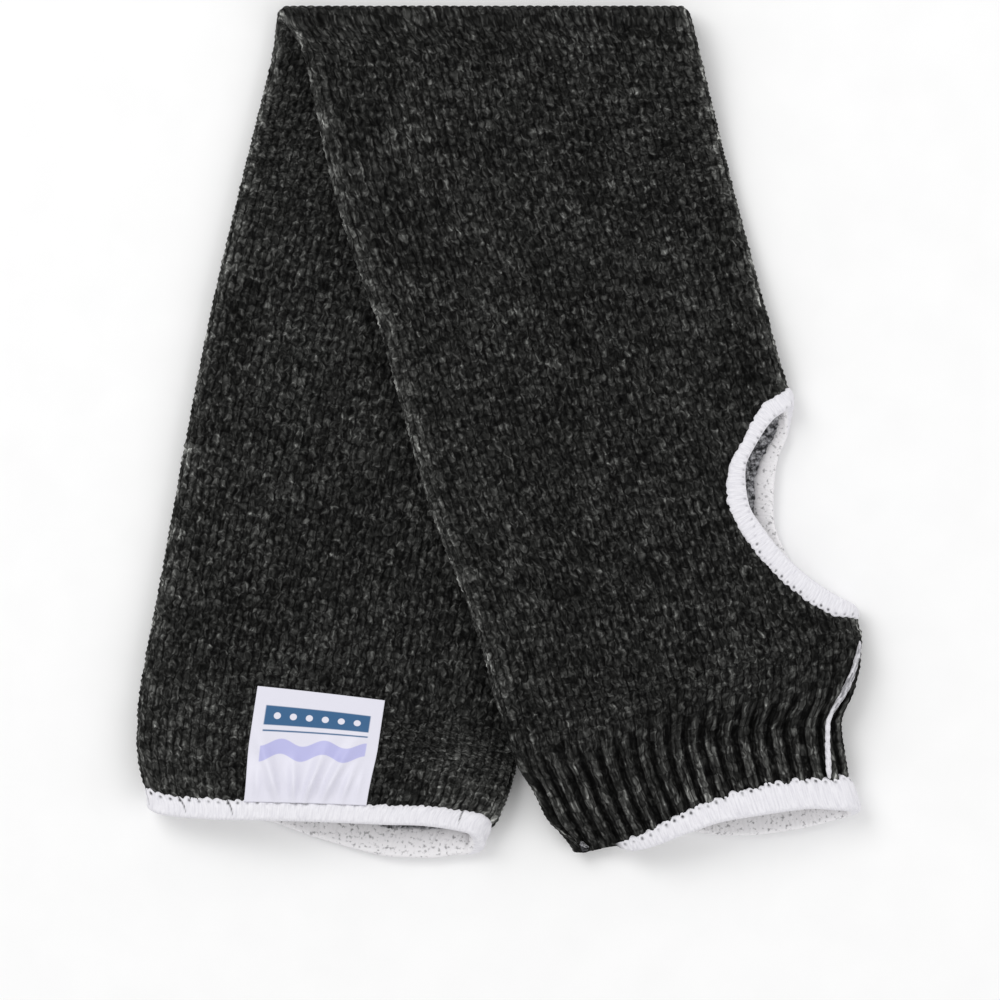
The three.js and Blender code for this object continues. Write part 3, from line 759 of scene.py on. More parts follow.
wandered_wale = heather.math("MULTIPLY_ADD", wander(0.8, 1.0), BEND_ACROSS, wale)
wandered_course = heather.math("MULTIPLY_ADD", wander(0.7, 5.0), BEND_ALONG, course)


def yarn_noise(across, along, shift):
    place = heather.place(
        heather.math("MULTIPLY", wandered_wale, across),
        heather.math("MULTIPLY", wandered_course, along), shift)
    return heather.math("SUBTRACT", heather.cloud(place, 1.0, detail=1.0), 0.5)


def from_middle(value):
    return heather.math("ABSOLUTE", heather.math("SUBTRACT", heather.math("FRACT", value), 0.5))


spots = yarn_noise(1.8, 0.72, 0.0)
fine = yarn_noise(3.2, 1.5, 3.0)
patches = heather.math("SUBTRACT", heather.cloud(heather.object_place(), 70.0, detail=2.0), 0.5)
stitch_number = heather.place(
    heather.math("FLOOR", wandered_wale), heather.math("FLOOR", wandered_course), 3.0)
own = heather.math("SUBTRACT", heather.dice(stitch_number), 0.5)
print("heather noises made")

# %% [markdown]
# Up close no two stitches are alike: most are charcoal, some grey, a few nearly white, with black
# gaps between them, darkened by painted shade. Brightness of such a yarn spreads by ratios, so the
# recipe adds up the noises and takes the exponent. Marks above zero are stretched places, as at the
# side edges and on the ribs: their stitches are drawn out and show more white, and they are painted
# lighter as well, as painted light at the side edges and a painted highlight on the rib ridges.
# Marks below zero are valleys, and the cut end of the cuff: they get painted shade.

# %% Heather knit finish
MEDIAN_TONE = -3.95
SPOTS, FINE, PATCHES, STITCHES = 5.2, 4.6, 1.6, 1.2
STRETCH_AND_PAINTED_LIGHT, VALLEY_PAINTED_SHADE, WALE_GAP_SHADE, COURSE_GAP_SHADE = 1.2, 1.2, 1.0, 0.5
DRAWN_OUT = 1.5
BRIGHTEST = 0.62
YARN_TINT = (1.0, 1.012, 0.965)

# Painted light: marks above zero lighten the yarn, partly for the drawn out white yarn and partly as
# painted light at the side edges and a painted highlight on the rib ridges.
edge = heather.math("MAXIMUM", heather.mark("mark"), 0.0)
# Painted shade: marks below zero darken the yarn in the rib valleys and on the cuff's cut end.
valley = heather.math("MAXIMUM", heather.math("MULTIPLY", heather.mark("mark"), -1.0), 0.0)
drawn_out = heather.math("MULTIPLY", yarn_noise(1.6, 0.3, 7.0), DRAWN_OUT)
spots = heather.math("MULTIPLY_ADD", edge, heather.math("SUBTRACT", drawn_out, spots), spots)
tone = heather.math("MULTIPLY_ADD", spots, SPOTS, MEDIAN_TONE)
# Painted shade: the last two terms darken the gaps between stitch columns and between rows of stitches.
for noise, share in (
    (fine, FINE), (patches, PATCHES), (own, STITCHES), (edge, STRETCH_AND_PAINTED_LIGHT), (valley, -VALLEY_PAINTED_SHADE),
    (heather.step(from_middle(wandered_wale), 0.3, 0.5), -WALE_GAP_SHADE),
    (heather.step(from_middle(wandered_course), 0.34, 0.5), -COURSE_GAP_SHADE),
):
    tone = heather.math("MULTIPLY_ADD", noise, share, tone)
shine = heather.math("MINIMUM", heather.math("EXPONENT", tone), BRIGHTEST)
heather.colour(heather.place(*(heather.math("MULTIPLY", shine, tint) for tint in YARN_TINT)))
heather.relief(fine, 0.6, 0.0004)
print("heather finish made")

# %% [markdown]
# Inside, the sleeve is plated with a pale terry yarn, and dark yarn peeps through it in specks.
# It shows between the lips of the thumb hole and in the two mouths.

# %% Inner terry finish
DARK_YARN, GREY_YARN, PALE_YARN = (0.025, 0.025, 0.028), (0.25, 0.25, 0.265), (0.62, 0.62, 0.65)

terry = Finish("inner_terry", roughness=0.95, sheen=0.2, specular=0.15)
terry_wale, terry_course = terry.map_layer("stitches")
loop_place = terry.place(terry.math("MULTIPLY", terry_wale, 1.6), terry.math("MULTIPLY", terry_course, 1.3))
loops = terry.cloud(loop_place, 1.0, detail=4.0, roughness=0.65)
terry.colour(terry.shade(loops, [(0.41, DARK_YARN), (0.52, GREY_YARN), (0.62, PALE_YARN)]))
terry.relief(loops, 0.8, 0.0006)
print("terry finish made")

# %% [markdown]
# Each stitch gets four columns and two rows of points: a low column between it and its neighbour,
# and three that make its ridge. The ridge swells and bows along the stitch, and each stitch is a
# bit higher or lower than the next and stands a bit out of line. This has the look of the real
# knit at its true scale: 100 stitches round the tube and 1.6 mm from row to row.

# %% Stitches
WALES = 100
COURSE = 1.6
COLUMNS_PER_WALE = 4
ROWS_PER_COURSE = 2
STITCH_RELIEF = np.array([-0.42, -0.02, 0.14, -0.02])
STITCH_SWELL = np.array([0.0, 0.1, 0.16, 0.1])
STITCH_BOW = np.array([0.0, 0.16, 0.26, 0.16])
UNEVEN = 0.3
SHIFTED = 0.22
FLAT_AT_FOLD = 0.6
FOLD_REACH = 8.0


def stitch_relief(row, col):
    """Height of the stitches: a ridge for every column of them, uneven from stitch to stitch."""
    part, wale = col % COLUMNS_PER_WALE, (col % (WALES * COLUMNS_PER_WALE)) // COLUMNS_PER_WALE
    uneven = (part > 0) * (scatter(wale, row // ROWS_PER_COURSE) - 0.5)
    return STITCH_RELIEF[part] + STITCH_SWELL[part] * (1 - 2 * (row % 2)) + UNEVEN * uneven


def flat_at_fold(station):
    """Over the fold the stitches are pulled open, so their ridges are lower."""
    return 1 - FLAT_AT_FOLD * np.exp(-((station / FOLD_REACH) ** 2))


def stitch_drift(row, col):
    """Sideways drift of a stitch out of its column, in columns of points."""
    part, wale = col % COLUMNS_PER_WALE, (col % (WALES * COLUMNS_PER_WALE)) // COLUMNS_PER_WALE
    return SHIFTED * COLUMNS_PER_WALE * (part > 0) * (scatter(wale, row // ROWS_PER_COURSE, 4) - 0.5)


print("one stitch is", round(float(2 * widest["half"][0] / WALES), 2), "mm wide at the fold")

# %% [markdown]
# At both side edges the flat tube turns round, and the stitches on the turn are pulled open. So are
# those at the two ends of the upper arm mouth. The finish shows them lighter and longer, and it also
# paints them lighter as painted light, where the cloth turns away from the light at the side edges.

# %% Stretched stitches and painted light
STRETCHED_REACH = 4.0
MOUTH_STRETCH = 0.4


def rim_mark(station, girth):
    """How close a place is to one of the side edges."""
    section = section_at(station)
    near = np.abs(girth) / (section["arc"] + STRETCHED_REACH)
    far = (section["half"] - np.abs(girth)) / (section["arc"] + STRETCHED_REACH)
    return 1 - smooth(np.minimum(near, far))


def stretch_and_light_mark(station, girth):
    """How much the stitches are pulled open, at the side edges and beside the upper arm mouth. The finish
    also paints these places lighter as painted light.
    """
    section = section_at(station)
    across = around_section(section, girth)[0] / HALF_WIDTH
    mouth = smooth((-station / ARM_REACH - 0.78) / 0.14)
    to_its_ends = smooth((np.abs(across + 0.05) - 0.35) / 0.35)
    return np.maximum(rim_mark(station, girth), MOUTH_STRETCH * mouth * to_its_ends)


print("stretched stitches reach", STRETCHED_REACH, "mm past each side edge")

# %% [markdown]
# The plain knit comes in three stretches, so that no mesh grows too large: upper arm, elbow with
# the fold, and hand with the thumb hole. They meet on the same row of stitches, which keeps
# the cloth whole to the eye. Rows are counted from the fold, below zero on the arm leg.

# %% Rows of stitches
FIRST_COURSE = -145
LAST_COURSE = 116
ELBOW_FROM, ELBOW_TO = -47, 32
MAP_START = 200.0


def course_station(number):
    """Station of a row of stitches: even courses, fitted to the two ends of the plain knit."""
    station = number * COURSE
    arm = number <= 0
    fit = np.where(arm, ARM_REACH / (-FIRST_COURSE * COURSE), RIB_START / (LAST_COURSE * COURSE))
    return station * fit


ELBOW_START = float(course_station(float(ELBOW_FROM)))
HAND_START = float(course_station(float(ELBOW_TO)))
print("elbow stretch from", round(ELBOW_START, 1), "to", round(HAND_START, 1), "mm along the sleeve")

# %% [markdown]
# Each stretch is closed: an outer face of stitches, an inner face of coarser terry loops, and
# between them the two ends and, in the hand, the lips of the thumb hole.

# %% Plain knit
TERRY_UNEVEN = 0.5


def plain_knit(name, first, last):
    cloth = Cloth()
    rows = np.arange(first * ROWS_PER_COURSE, last * ROWS_PER_COURSE + 1)
    cols = np.arange(WALES * COLUMNS_PER_WALE + 1)
    row, col = np.meshgrid(rows, cols, indexing="ij")
    part = col % COLUMNS_PER_WALE
    ends = (row == FIRST_COURSE * ROWS_PER_COURSE) | (row == LAST_COURSE * ROWS_PER_COURSE)
    station = course_station(row / ROWS_PER_COURSE + np.where(ends, 0.0, STITCH_BOW[part]))
    share = -1 + 2 * (col + stitch_drift(row, col)) / cols[-1]
    girth = share * section_at(station)["half"]
    maps = np.stack([col / COLUMNS_PER_WALE, row / ROWS_PER_COURSE + MAP_START], -1)
    marks = stretch_and_light_mark(station, girth)
    relief = stitch_relief(row, col) * flat_at_fold(station)
    outer, outer_lips = knit_face(cloth, station, share, relief, maps, marks, 0)

    row, col = np.meshgrid(np.arange(first, last + 1), np.arange(WALES + 1), indexing="ij")
    station = course_station(row.astype(float))
    share = -1 + 2 * col / WALES
    relief = -WALL - TERRY_UNEVEN * scatter(row, col % WALES, 5)
    maps = np.stack([col, row + MAP_START], -1).astype(float)
    inner, inner_lips = knit_face(cloth, station, share, relief, maps, np.zeros(row.shape), 1, inner=True)
    cloth.zip(inner[0], outer[0], 1)
    cloth.zip(outer[-1], inner[-1], 1)
    if outer_lips:
        cloth.zip(outer_lips[0], inner_lips[0], 1)
        cloth.zip(inner_lips[1], outer_lips[1], 1)
        for end, turn in ((0, 1), (-1, -1)):
            corner = [outer_lips[1][end], outer_lips[0][end], inner_lips[0][end], inner_lips[1][end]]
            corner = corner[::turn]
            cloth.triangles([corner[:3], [corner[0], corner[2], corner[3]]], np.zeros(2), 1)
    return cloth.make(name, [heather.material, terry.material])


upper_arm_knit = plain_knit("upper_arm_knit", FIRST_COURSE, ELBOW_FROM)
elbow_knit = plain_knit("elbow_knit", ELBOW_FROM, ELBOW_TO)
hand_knit = plain_knit("hand_knit", ELBOW_TO, LAST_COURSE)

# %% [markdown]
# The cuff is rib knit: columns of face stitches stand up and columns of back stitches sink in
# between them, which makes it springy. The ribs grow out of the plain knit bit by bit, so both
# use the same columns of points, and ten of them make one rib with its steep dark valley. The
# stitch map runs slower along the ribs, because their yarn is drawn out lengthwise.

# %% Shape of the ribs
RIB_COUNT = 40
RIB_DEPTH = 0.8
RIB_COLUMNS = 10
RIB_PROFILE = np.array([-1.5, -0.95, 0.0, 0.35, 0.1, 0.08, 0.38, 0.0, -0.9, -1.45])
RIB_COURSE = 1.5
RIB_FADE_FROM = 3.0
RIB_FADE_IN = 17.0
RIB_FADE_OUT = 4.0
RIB_SWELL = 0.1
RIB_UNEVEN = 0.16

rib_courses = round(RIBBED_LENGTH / RIB_COURSE)
rib_rows = np.arange(rib_courses * ROWS_PER_COURSE + 1)
rib_cols = np.arange(RIB_COUNT * RIB_COLUMNS + 1)
row, col = np.meshgrid(rib_rows, rib_cols, indexing="ij")
part = col % RIB_COLUMNS
into = row / ROWS_PER_COURSE * RIBBED_LENGTH / rib_courses
ribbed = smooth((into - RIB_FADE_FROM) / RIB_FADE_IN)
fade = ribbed * smooth((RIBBED_LENGTH - into) / RIB_FADE_OUT)
plain_row = row + LAST_COURSE * ROWS_PER_COURSE
share = -1 + 2 * (col + (1 - ribbed) * stitch_drift(plain_row, col)) / rib_cols[-1]
on_ridge = (part >= 2) & (part <= 7)
ridges = RIB_DEPTH * RIB_PROFILE[part] * fade + RIB_SWELL * on_ridge * (1 - 2 * (row % 2)) * ribbed
ridges = ridges + RIB_UNEVEN * ribbed * (scatter(row, col % rib_cols[-1], 2) - 0.5)
relief = ridges + (1 - ribbed) * stitch_relief(plain_row, col)
print("ribs stand from", round(float(relief.min()), 2), "to", round(float(relief.max()), 2), "mm")

# %% [markdown]
# Outer face, inner face and the cut end are joined to one closed cuff. The marks tell the yarn
# finish where the ridges and valleys are, for drawn out yarn and a painted highlight on the ridges and
# painted shade in the valleys, and they paint the cut end dark as painted shade, since it lies in the dark.

# %% Ribbed cuff
RIB_SLOWING = 0.35
RIDGE_STRETCH_AND_HIGHLIGHT = 0.55
CUT_END_PAINTED_SHADE = -2.5
VALLEY_PROFILE = -0.5
INNER_MAP_START = 700.0

share_in = np.clip(into / RIB_FADE_IN, 0.0, 1.0)
slow_start = RIB_FADE_IN * (share_in**3 - share_in**4 / 2)
slowed = np.where(into < RIB_FADE_IN, slow_start, into - RIB_FADE_IN / 2)
courses = LAST_COURSE + MAP_START + (into - RIB_SLOWING * slowed) / COURSE
maps = np.stack([col / COLUMNS_PER_WALE, courses], -1)
# Marks for a painted highlight on the rib ridges, which are also drawn out, and painted shade in the rib
# valleys.
rib_light_and_shade_mark = fade * np.where(RIB_PROFILE[part] < VALLEY_PROFILE, -1.0, RIDGE_STRETCH_AND_HIGHLIGHT)
cuff = Cloth()
outer, _ = knit_face(cuff, RIB_START + into, share, relief, maps, rib_light_and_shade_mark, 0)

row, col = np.meshgrid(np.arange(rib_courses + 1), np.arange(WALES + 1), indexing="ij")
station = RIB_START + row * RIBBED_LENGTH / rib_courses
maps = np.stack([col, row + INNER_MAP_START], -1).astype(float)
relief = -WALL - TERRY_UNEVEN * scatter(row, col % WALES, 6)
# Painted shade: this mark darkens the cut end of the cuff, which is joined to this face and finished as
# knit.
marks = np.full(row.shape, CUT_END_PAINTED_SHADE)
inner, _ = knit_face(cuff, station, -1 + 2 * col / WALES, relief, maps, marks, 1, inner=True)
cuff.zip(inner[0], outer[0], 1)
cuff.zip(outer[-1], inner[-1], 0, place=(0.5, MAP_START))
ribbed_cuff = cuff.make("ribbed_cuff", [heather.material, terry.material])

# %% [markdown]
# The overlock thread is white and bulky, with soft fibres that run over the edge. Inside the mouths
# its back shows, less pure in colour and painted lighter as painted light, and specks of the dark
# yarn peep through it.

# %% Overlock thread finish
THREAD_SHADE, THREAD_LIGHT = (0.7, 0.69, 0.74), (0.86, 0.85, 0.89)
THREAD_BACK_PAINTED_LIGHT = (0.9, 0.885, 0.905, 1.0)
DARK_SPECK = (0.05, 0.05, 0.055, 1.0)
SPECKS_INSIDE, SPECKS_OUTSIDE = 0.6, 0.03

thread = Finish("overlock_thread", roughness=0.9, sheen=0.15, specular=0.1)
stitch, round_edge = thread.map_layer("stitches")
fibre_place = thread.place(thread.math("MULTIPLY", stitch, 5.0), thread.math("MULTIPLY", round_edge, 1.8))
fibre = thread.cloud(fibre_place, 1.0, detail=4.0)
puffs = thread.cloud(thread.object_place(), 420.0, detail=3.0)
peeping = thread.cloud(thread.object_place(), 1000.0, detail=2.0)
# The inner side of the lip: there the dark yarn specks show, and the thread is painted lighter as painted
# light.
inside = thread.math(
    "MULTIPLY", thread.step(round_edge, 2.1, 2.5), thread.step(round_edge, 4.0, 3.7))
soft_white = thread.shade(fibre, [(0.25, THREAD_SHADE), (0.6, THREAD_LIGHT)])
# Painted light: inside the mouths the thread's back is painted lighter, standing in for light bounced round
# inside.
soft_white = thread.blend(inside, soft_white, THREAD_BACK_PAINTED_LIGHT)
speck_share = thread.math("MULTIPLY_ADD", inside, SPECKS_INSIDE, SPECKS_OUTSIDE)
specks = thread.math("MULTIPLY", thread.step(peeping, 0.53, 0.74), speck_share)
dirt = thread.math("MAXIMUM", thread.step(thread.mark("mark"), 0.05, 0.85), specks)
thread.colour(thread.blend(dirt, soft_white, DARK_SPECK))
thread.relief(thread.math("ADD", fibre, puffs), 0.35, 0.0005)
print("thread finish made")

# %% [markdown]
# Each cut edge is overlocked: the thread crosses it in slanting strands, and on the cloth side
# every stitch bulges out between two needle holes. The edging is a fat lip with a squarish round
# profile, and its strands are real ridges on it.

# %% The overlock stitch
STITCH_PITCH = 2.5
SQUARENESS = 0.66
STRAND_RELIEF = 0.2
STRAND_SLANT = 0.55
HOLE_INSET = 0.75
HOLE_WIDTH = 0.5
HOLE_SHARE = 0.2
STREAK_SHARE = 0.1


def squarish(wave):
    return np.sign(wave) * np.abs(wave) ** SQUARENESS


def strands(stitch_at, reach, rise, scallop):
    """Height of the slanting strands, two of them for every stitch."""
    slant = np.abs(np.sin(np.pi * (2 * stitch_at + STRAND_SLANT * reach)))
    return STRAND_RELIEF * (0.25 + 0.75 * scallop) * (slant**0.7 - 0.55) * (0.4 + 0.6 * np.abs(rise))


def needle_holes(frac, past_line, rise, scallop):
    """A hole in the middle of every stitch, on the line where the needle went in."""
    hole = np.exp(-((frac - 0.5) / HOLE_SHARE) ** 2 - (past_line / HOLE_WIDTH) ** 2) * (rise > 0.2)
    return hole * (0.25 + 0.75 * scallop)


def peeping_knit(frac, past_cover, shown):
    """Slanting streaks where the dark knit shows between two strands."""
    return shown * np.exp(-((frac - 0.5 - 0.12 * past_cover) / STREAK_SHARE) ** 2)


print("strands cross the edge every", STITCH_PITCH / 2, "mm")

# %% [markdown]
# The lip is swept round the cut edge. Upper arm mouth, wrist mouth and thumb hole differ only in
# how broad, plump and scalloped it is along its way, so one function makes them all. What changes
# along the way is given to it as a function of the share of the way round.

# %% Sweeping an edging
STEPS_PER_STITCH = 10
PROFILE_POINTS = 28
EDGE_NOSE = 1.4
THREAD_RISE = 0.95
SCALLOP = 0.42
HOLE_DEPTH = 0.45


def steady(value):
    return lambda turn: np.full_like(turn, value)


def edging(name, stitches, cut_at, cover_at, seed, scallop_at=steady(1.0), plump_at=steady(1.0),
           lining_at=steady(0.0), dots_out_at=steady(0.0), hidden_at=steady(0.0), streaks=0.0):
    """Sweeps the overlocked lip. cut_at gives station, girth and the way out of the cloth."""
    steps = stitches * STEPS_PER_STITCH
    turn = np.arange(steps + 1)[:, None] / steps
    angle = (2 * np.pi * np.arange(PROFILE_POINTS + 1) / PROFILE_POINTS)[None, :]
    reach, rise = squarish(np.cos(angle)), squarish(np.sin(angle))
    stitch_at = turn * stitches
    number = np.floor(stitch_at) % stitches
    frac = stitch_at - np.floor(stitch_at)
    scallop, plump = scallop_at(turn), plump_at(turn)

    cover = cover_at(turn) * (1 + 0.1 * (scatter(number, seed, 3) - 0.5))
    lobe = np.abs(np.sin(np.pi * stitch_at)) * (0.6 + 0.8 * scatter(number, seed))
    bulge = SCALLOP * scallop * plump * lobe * smooth(-reach)
    lining = lining_at(turn) * smooth(-2 * rise)
    nose = (CLEARANCE + EDGE_NOSE) * plump
    past = np.where(reach < 0, (cover + bulge + lining) * reach, nose * reach)

    ridge = strands(stitch_at, reach, rise, scallop)
    holes = needle_holes(frac, past - HOLE_INSET + cover - dots_out_at(turn) * cover, rise, scallop)
    shown = (scatter(number, seed, 19) < streaks * scallop) * (rise > 0.0)
    streak = peeping_knit(frac, past + cover, shown)
    mark = np.maximum(holes * (0.45 + 0.55 * scatter(number, seed, 11)), 0.8 * streak)
    mark = np.maximum(mark, hidden_at(turn))

    bulk = THREAD_RISE * plump * (0.92 + 0.16 * scatter(number, seed, 7))
    height = (WALL / 2 + bulk) * rise - WALL / 2 + np.sign(rise) * ridge - HOLE_DEPTH * holes
    past = past + 0.35 * ridge * (reach > 0)
    station, girth, out_station, out_girth = cut_at(turn)
    at = station + out_station * past
    round_at = girth + out_girth * past if out_girth is not None else girth * section_at(at)["half"]
    cloth = Cloth()
    numbers = cloth.add(sleeve_point(at, round_at, height)[:-1, :-1], mark[:-1, :-1])
    numbers = np.concatenate([numbers, numbers[:1]], axis=0)
    numbers = np.concatenate([numbers, numbers[:, :1]], axis=1)
    maps = np.stack(np.broadcast_arrays(stitch_at, 2 * angle / np.pi), -1)
    cloth.sheet_of(numbers, maps, 0)
    return cloth.make(name, [thread.material])


print("one edging step is", STITCH_PITCH / STEPS_PER_STITCH, "mm long")

# %% [markdown]
# A mouth is edged all the way round. It starts and ends at the far side edge, and halfway round it
# passes the side edge on the thumb side, where the hem is fullest. In the mouths the edging
# reaches further in, as a lining, on the lip that the camera sees from inside.

# %% Way round a mouth
def mouth_cut(side, reach):
    def cut_at(turn):
        share = 2 * turn - 1
        return np.full_like(turn, side * reach), share, side, None
    return cut_at


def mouth_stitches(side, reach):
    return round(float(2 * section_at(np.array([side * reach]))["half"][0] / STITCH_PITCH))


def across_mouth(turn, side, reach):
    """Place across the leg, as a share of half its width, on the way round a mouth."""
    section = section_at(np.full_like(turn, side * reach))
    return around_section(section, (2 * turn - 1) * section["half"])[0] / HALF_WIDTH


def tucked(turn):
    """The wrist's far corner is turned under, so its hem shows no more there."""
    across = across_mouth(turn, 1, CUFF_REACH)
    return 1 - smooth((across + np.where(turn > 0.5, 0.63, 0.68)) / 0.15)


def wrist_cover(turn):
    covered = EDGE_COVER * read(CUFF_MOUTH, "cover", across_mouth(turn, 1, CUFF_REACH))
    return covered * (1 - 0.92 * tucked(turn))


print("stitches round the wrist mouth:", mouth_stitches(1, CUFF_REACH))

# %% Hems of the two mouths
def side_end(turn):
    """How close a place is to the end of the mouth on the thumb side."""
    return np.exp(-((2 * turn - 1) / 0.1) ** 2)


def arm_scallop(turn):
    """The stitches bulge most on the left, where the cloth is stretched."""
    return 0.2 + 0.8 * smooth((-0.2 - across_mouth(turn, -1, ARM_REACH)) / 0.3)


ARM_LINING = 3.1
END_LINING = 2.5
WRIST_LINING = 1.5
PLUMP_END = 0.45
upper_arm_hem = edging(
    "upper_arm_overlock", mouth_stitches(-1, ARM_REACH), mouth_cut(-1, ARM_REACH),
    steady(EDGE_COVER), 1, arm_scallop,
    plump_at=lambda turn: 1 + PLUMP_END * side_end(turn),
    lining_at=lambda turn: ARM_LINING * smooth((turn - 0.4) / 0.1) + END_LINING * side_end(turn),
    streaks=0.22)
wrist_hem = edging(
    "wrist_overlock", mouth_stitches(1, CUFF_REACH), mouth_cut(1, CUFF_REACH), wrist_cover, 2,
    plump_at=lambda turn: (1 + PLUMP_END * side_end(turn)) * (1 - 1.6 * tucked(turn)),
    lining_at=lambda turn: WRIST_LINING * smooth((0.6 - turn) / 0.1) * (1 - tucked(turn)),
    hidden_at=lambda turn: smooth(tucked(turn) / 0.8))

# %% [markdown]
# The thumb hole is edged the same way, out along its upper lip and back along its lower one. The
# way is measured along the lips, so that all stitches come out equally long.

# %% Way round the thumb hole
def lip_place(angle):
    station = HOLE_START + HOLE_LENGTH * (1 - np.cos(angle)) / 2
    over, under = hole_lips(station)
    return station, np.where(np.sin(angle) >= 0, over, -under)


def lip_angles():
    """Angles round the lips, the share of the way done at each, and the whole way."""
    angle = np.linspace(0, 2 * np.pi, 2000)
    station, girth = lip_place(angle)
    way = np.concatenate([[0], np.cumsum(np.hypot(np.diff(station), np.diff(girth)))])
    return angle, way / way[-1], way[-1]


lip_angle, lip_share, lip_length = lip_angles()


def hole_cut(turn):
    angle = np.interp(turn, lip_share, lip_angle)
    station, girth = lip_place(angle)
    before, after = lip_place(angle - 0.03), lip_place(angle + 0.03)
    rise, run = after[1] - before[1], after[0] - before[0]
    length = np.hypot(rise, run)
    return station, girth, rise / length, -run / length


print("way round the thumb hole in mm:", round(float(lip_length), 1))

# %% [markdown]
# Near the two tight ends the edging covers less cloth, as it does in the frame. On the upper half
# it is drawn flatter, and its needle holes lie by the free edge.

# %% Thumb hole edging
HOLE_STITCHES = 76
UPPER_END_COVER = 0.75
LOWER_END_COVER = 0.45
SLIM_AT, SLIM_REACH = 0.17, 0.13


def place_down_hole(turn):
    """Share of the way from the upper end of the hole to its lower one."""
    return (lip_place(np.interp(turn, lip_share, lip_angle))[0] - HOLE_START) / HOLE_LENGTH


def hole_slim(turn, most):
    """The edging is slimmer a little below the upper end, where the lips are pulled apart."""
    return 1 - most * np.exp(-(((place_down_hole(turn) - SLIM_AT) / SLIM_REACH) ** 2))


def hole_cover(turn):
    station, girth = lip_place(np.interp(turn, lip_share, lip_angle))
    at_end = np.where(station < (HOLE_START + HOLE_END) / 2, UPPER_END_COVER, LOWER_END_COVER)
    turned = smooth(np.abs(girth) / (HOLE_DEPTH_OVER / 3))
    return EDGE_COVER * (at_end + (1 - at_end) * turned) * hole_slim(turn, 0.4)


def below_middle(turn):
    return smooth((place_down_hole(turn) - 0.45) / 0.2)


def hole_dots(turn):
    """On the upper half the needle holes lie by the free edge, further down by the cloth."""
    return 1.05 * (1 - below_middle(turn))


def hole_scallop(turn):
    return 0.5 + 0.35 * below_middle(turn)


thumb_hole_edging = edging(
    "thumb_hole_overlock", HOLE_STITCHES, hole_cut, hole_cover, 3, hole_scallop,
    plump_at=lambda turn: hole_slim(turn, 0.25), dots_out_at=hole_dots)

# %% [markdown]
# The white line down the cuff is a sewn seam: thick thread that lies in short slanting stitches.
# It is a low bead that follows the side edge, with a ridge for every stitch.

# %% Cuff seam
SEAM_WIDTH = 2.2
SEAM_FROM_EDGE = 7.7
SEAM_HEIGHT = 0.75
SEAM_PITCH = 2.2
SEAM_STEPS = 8
SEAM_POINTS = 16
SEAM_SLANT = 0.6
SEAM_LINE = columns_of("along away width", [
    (0.0, 0.31, 0.7), (0.17, 0.49, 0.7), (0.32, 0.65, 1.0), (0.42, 0.76, 0.9),
    (0.52, 0.81, 0.55), (0.62, 0.84, 0.55), (0.8, 0.93, 0.6), (1.0, 1.0, 0.65),
])

seam_start = RIB_START + 1
seam_end = CUFF_REACH - LONGEST_COVER
seam_stitches = round((seam_end - seam_start) / SEAM_PITCH)
steps = np.arange(seam_stitches * SEAM_STEPS + 1)[:, None] / SEAM_STEPS
angle = np.linspace(0, 2 * np.pi, SEAM_POINTS + 1)[None, :]
share = steps / seam_stitches
twist = np.abs(np.sin(np.pi * (steps + SEAM_SLANT * np.cos(angle))))
ends = np.sqrt(np.clip(1 - np.abs(2 * share - 1) ** 12, 0, 1))
width = SEAM_WIDTH / 2 * read(SEAM_LINE, "width", share) * (1.05 + 0.2 * twist) * ends
middle = SEAM_FROM_EDGE * read(SEAM_LINE, "away", share)
height = SEAM_HEIGHT * (0.75 + 0.35 * twist) * ends * np.sin(angle)
station = seam_start + (seam_end - seam_start) * share + 0 * angle
points = sleeve_point(station, middle + width * np.cos(angle), height)
print("stitches down the cuff:", seam_stitches)

# %% Thread of the cuff seam
mottle = (0.2 + 0.25 * (share < 0.5)) * (0.5 + scatter(np.floor(2 * steps), np.round(5 * angle)))
seam = Cloth()
numbers = seam.add(points[:, :-1], mottle[:, :-1])
numbers = np.concatenate([numbers, numbers[:, :1]], axis=1)
seam.sheet_of(numbers, np.stack(np.broadcast_arrays(steps, 2 * angle / np.pi), -1), 0)
for ring in (numbers[0, :-1], numbers[-1, ::-1][:-1]):
    seam.triangles([(ring[0], ring[i], ring[i + 1]) for i in range(1, len(ring) - 1)], np.zeros(2), 0)
cuff_seam = seam.make("cuff_seam_thread", [thread.material])

# %% [markdown]
# The label is woven satin with a printed face. The print is a plain band with dots, a thin line
# and a wavy stripe. Nodes draw it on the label's own map, so it needs no picture: a band is where
# the height on the map lies between two values, and a dot is where its middle is near.

# %% Print of the label
LABEL_WIDTH = 34.0
LABEL_HEIGHT = 29.5
PRINTED = (0.09, 0.91)
BAND, LINE, STRIPE = (0.66, 0.84), (0.6, 0.615), (0.36, 0.5)
DOT_COUNT = 8.0
DOT_ROW = 0.75
DOTTED = (0.125, 0.875)

satin = Finish("label_satin", roughness=0.42, sheen=0.1, specular=0.45)
over, up = satin.map_layer("stitches")


def between(value, low, high, soft=0.006):
    above = satin.step(value, low - soft, low + soft)
    below = satin.step(value, high + soft, high - soft)
    return satin.math("MULTIPLY", above, below)


def printed(rise, heights):
    return satin.math("MULTIPLY", between(rise, *heights), between(over, *PRINTED))


